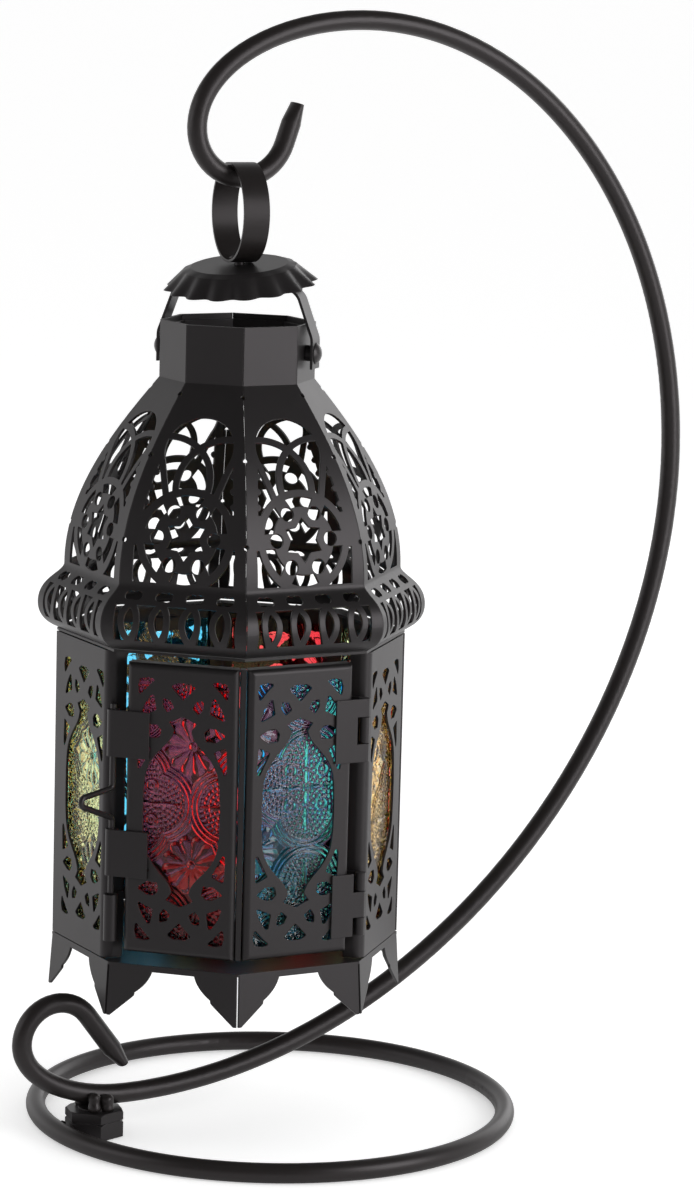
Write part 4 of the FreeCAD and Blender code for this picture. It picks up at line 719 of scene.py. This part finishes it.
# Studio: a white backdrop behind the object, a dim room in front, a dark ceiling.
ROOM_LIGHT = 0.62
BEHIND = (0.477, 0.879, 0.0)
FRONT_DIM = 0.08
CEILING = 0.12
world = bpy.data.worlds.new("studio")
world.use_nodes = True
scene.world = world
tree = world.node_tree
tree.nodes.clear()
out = add_node(tree, "ShaderNodeOutputWorld", (900, 0))
WHITE = (1.0, 1.0, 1.0, 1.0)
room = add_node(tree, "ShaderNodeBackground", (0, -200), Color=WHITE, Strength=ROOM_LIGHT)
walls = add_node(tree, "ShaderNodeBackground", (0, 0), Color=WHITE)
backdrop = add_node(tree, "ShaderNodeBackground", (0, 200), Color=WHITE, Strength=1.0)
direction = add_node(tree, "ShaderNodeTexCoord", (-1100, 400))
upward = add_node(tree, "ShaderNodeSeparateXYZ", (-900, 500))
tree.links.new(direction.outputs["Generated"], upward.inputs["Vector"])
ceiling_fade = add_node(tree, "ShaderNodeMapRange", (-650, 500))
ceiling_fade.inputs["From Min"].default_value = 0.18
ceiling_fade.inputs["From Max"].default_value = 0.70
ceiling_fade.inputs["To Min"].default_value = 1.0
ceiling_fade.inputs["To Max"].default_value = CEILING
tree.links.new(upward.outputs["Z"], ceiling_fade.inputs["Value"])
towards = add_node(tree, "ShaderNodeVectorMath", (-900, 250), operation="DOT_PRODUCT")
towards.inputs[1].default_value = BEHIND
tree.links.new(direction.outputs["Generated"], towards.inputs[0])
front_fade = add_node(tree, "ShaderNodeMapRange", (-650, 250))
front_fade.inputs["From Min"].default_value = -0.35
front_fade.inputs["From Max"].default_value = 0.55
front_fade.inputs["To Min"].default_value = FRONT_DIM
front_fade.inputs["To Max"].default_value = 1.0
tree.links.new(towards.outputs["Value"], front_fade.inputs["Value"])
wall_tone = add_node(tree, "ShaderNodeMath", (-400, 350), operation="MULTIPLY")
tree.links.new(ceiling_fade.outputs["Result"], wall_tone.inputs[0])
tree.links.new(front_fade.outputs["Result"], wall_tone.inputs[1])
tree.links.new(wall_tone.outputs["Value"], walls.inputs["Strength"])
light_path, direct = seen_directly(tree, (-600, -100))
mirrored = add_node(tree, "ShaderNodeMixShader", (300, -100))
tree.links.new(light_path.outputs["Is Glossy Ray"], mirrored.inputs["Fac"])
tree.links.new(room.outputs["Background"], mirrored.inputs[1])
tree.links.new(walls.outputs["Background"], mirrored.inputs[2])
choose = add_node(tree, "ShaderNodeMixShader", (600, 0))
tree.links.new(direct, choose.inputs["Fac"])
tree.links.new(mirrored.outputs["Shader"], choose.inputs[1])
tree.links.new(backdrop.outputs["Background"], choose.inputs[2])
tree.links.new(choose.outputs["Shader"], out.inputs["Surface"])

# White paper floor that keeps the shadow. Seen in reflections, its front half carries painted shade, a darker
# grey that stands for the dim room in front.
FLOOR_LIFT = 0.465
PAPER = (0.86, 0.86, 0.86, 1.0)
# Darker grey of painted shade, seen only where reflections show the floor in front.
PAPER_PAINTED_SHADE = (0.52, 0.52, 0.52, 1.0)
deselect()
bpy.ops.mesh.primitive_plane_add(size=60.0, location=(0.0, 0.0, -0.0002))
floor = bpy.context.object
floor.name = "floor"
floor_paper, tree, shader = new_material("floor_paper")
shader.inputs["Roughness"].default_value = 0.9
shader.inputs["Specular IOR Level"].default_value = 0.1
spot = add_node(tree, "ShaderNodeTexCoord", (-1100, -600))
behind = add_node(tree, "ShaderNodeVectorMath", (-900, -600), operation="DOT_PRODUCT")
behind.inputs[1].default_value = BEHIND
tree.links.new(spot.outputs["Object"], behind.inputs[0])
far_floor = add_node(tree, "ShaderNodeMapRange", (-700, -600))
far_floor.inputs["From Min"].default_value = -0.25
far_floor.inputs["From Max"].default_value = 0.25
tree.links.new(behind.outputs["Value"], far_floor.inputs["Value"])
light_path, direct = seen_directly(tree, (-700, -300))
mirrored = add_node(tree, "ShaderNodeMath", (-400, -500), operation="MULTIPLY")
tree.links.new(light_path.outputs["Is Glossy Ray"], mirrored.inputs[0])
tree.links.new(far_floor.outputs["Result"], mirrored.inputs[1])
# Painted shade: in reflections only, the floor in front of the object takes the darker grey.
near_floor_painted_shade = add_node(tree, "ShaderNodeMath", (-400, -700), operation="SUBTRACT")
tree.links.new(light_path.outputs["Is Glossy Ray"], near_floor_painted_shade.inputs[0])
tree.links.new(mirrored.outputs["Value"], near_floor_painted_shade.inputs[1])
paper = add_node(tree, "ShaderNodeMix", (0, 100), data_type="RGBA")
paper.inputs[6].default_value = PAPER
paper.inputs[7].default_value = PAPER_PAINTED_SHADE
tree.links.new(near_floor_painted_shade.outputs["Value"], paper.inputs["Factor"])
tree.links.new(paper.outputs[2], shader.inputs["Base Color"])
either = add_node(tree, "ShaderNodeMath", (-200, -400), operation="MAXIMUM")
tree.links.new(direct, either.inputs[0])
tree.links.new(mirrored.outputs["Value"], either.inputs[1])
lift = add_node(tree, "ShaderNodeMath", (50, -300), operation="MULTIPLY")
lift.inputs[1].default_value = FLOOR_LIFT
tree.links.new(either.outputs["Value"], lift.inputs[0])
tree.links.new(lift.outputs["Value"], shader.inputs["Emission Strength"])
shader.inputs["Emission Color"].default_value = (1.0, 1.0, 1.0, 1.0)
floor.data.materials.append(floor_paper)

scene.view_settings.view_transform = "Standard"
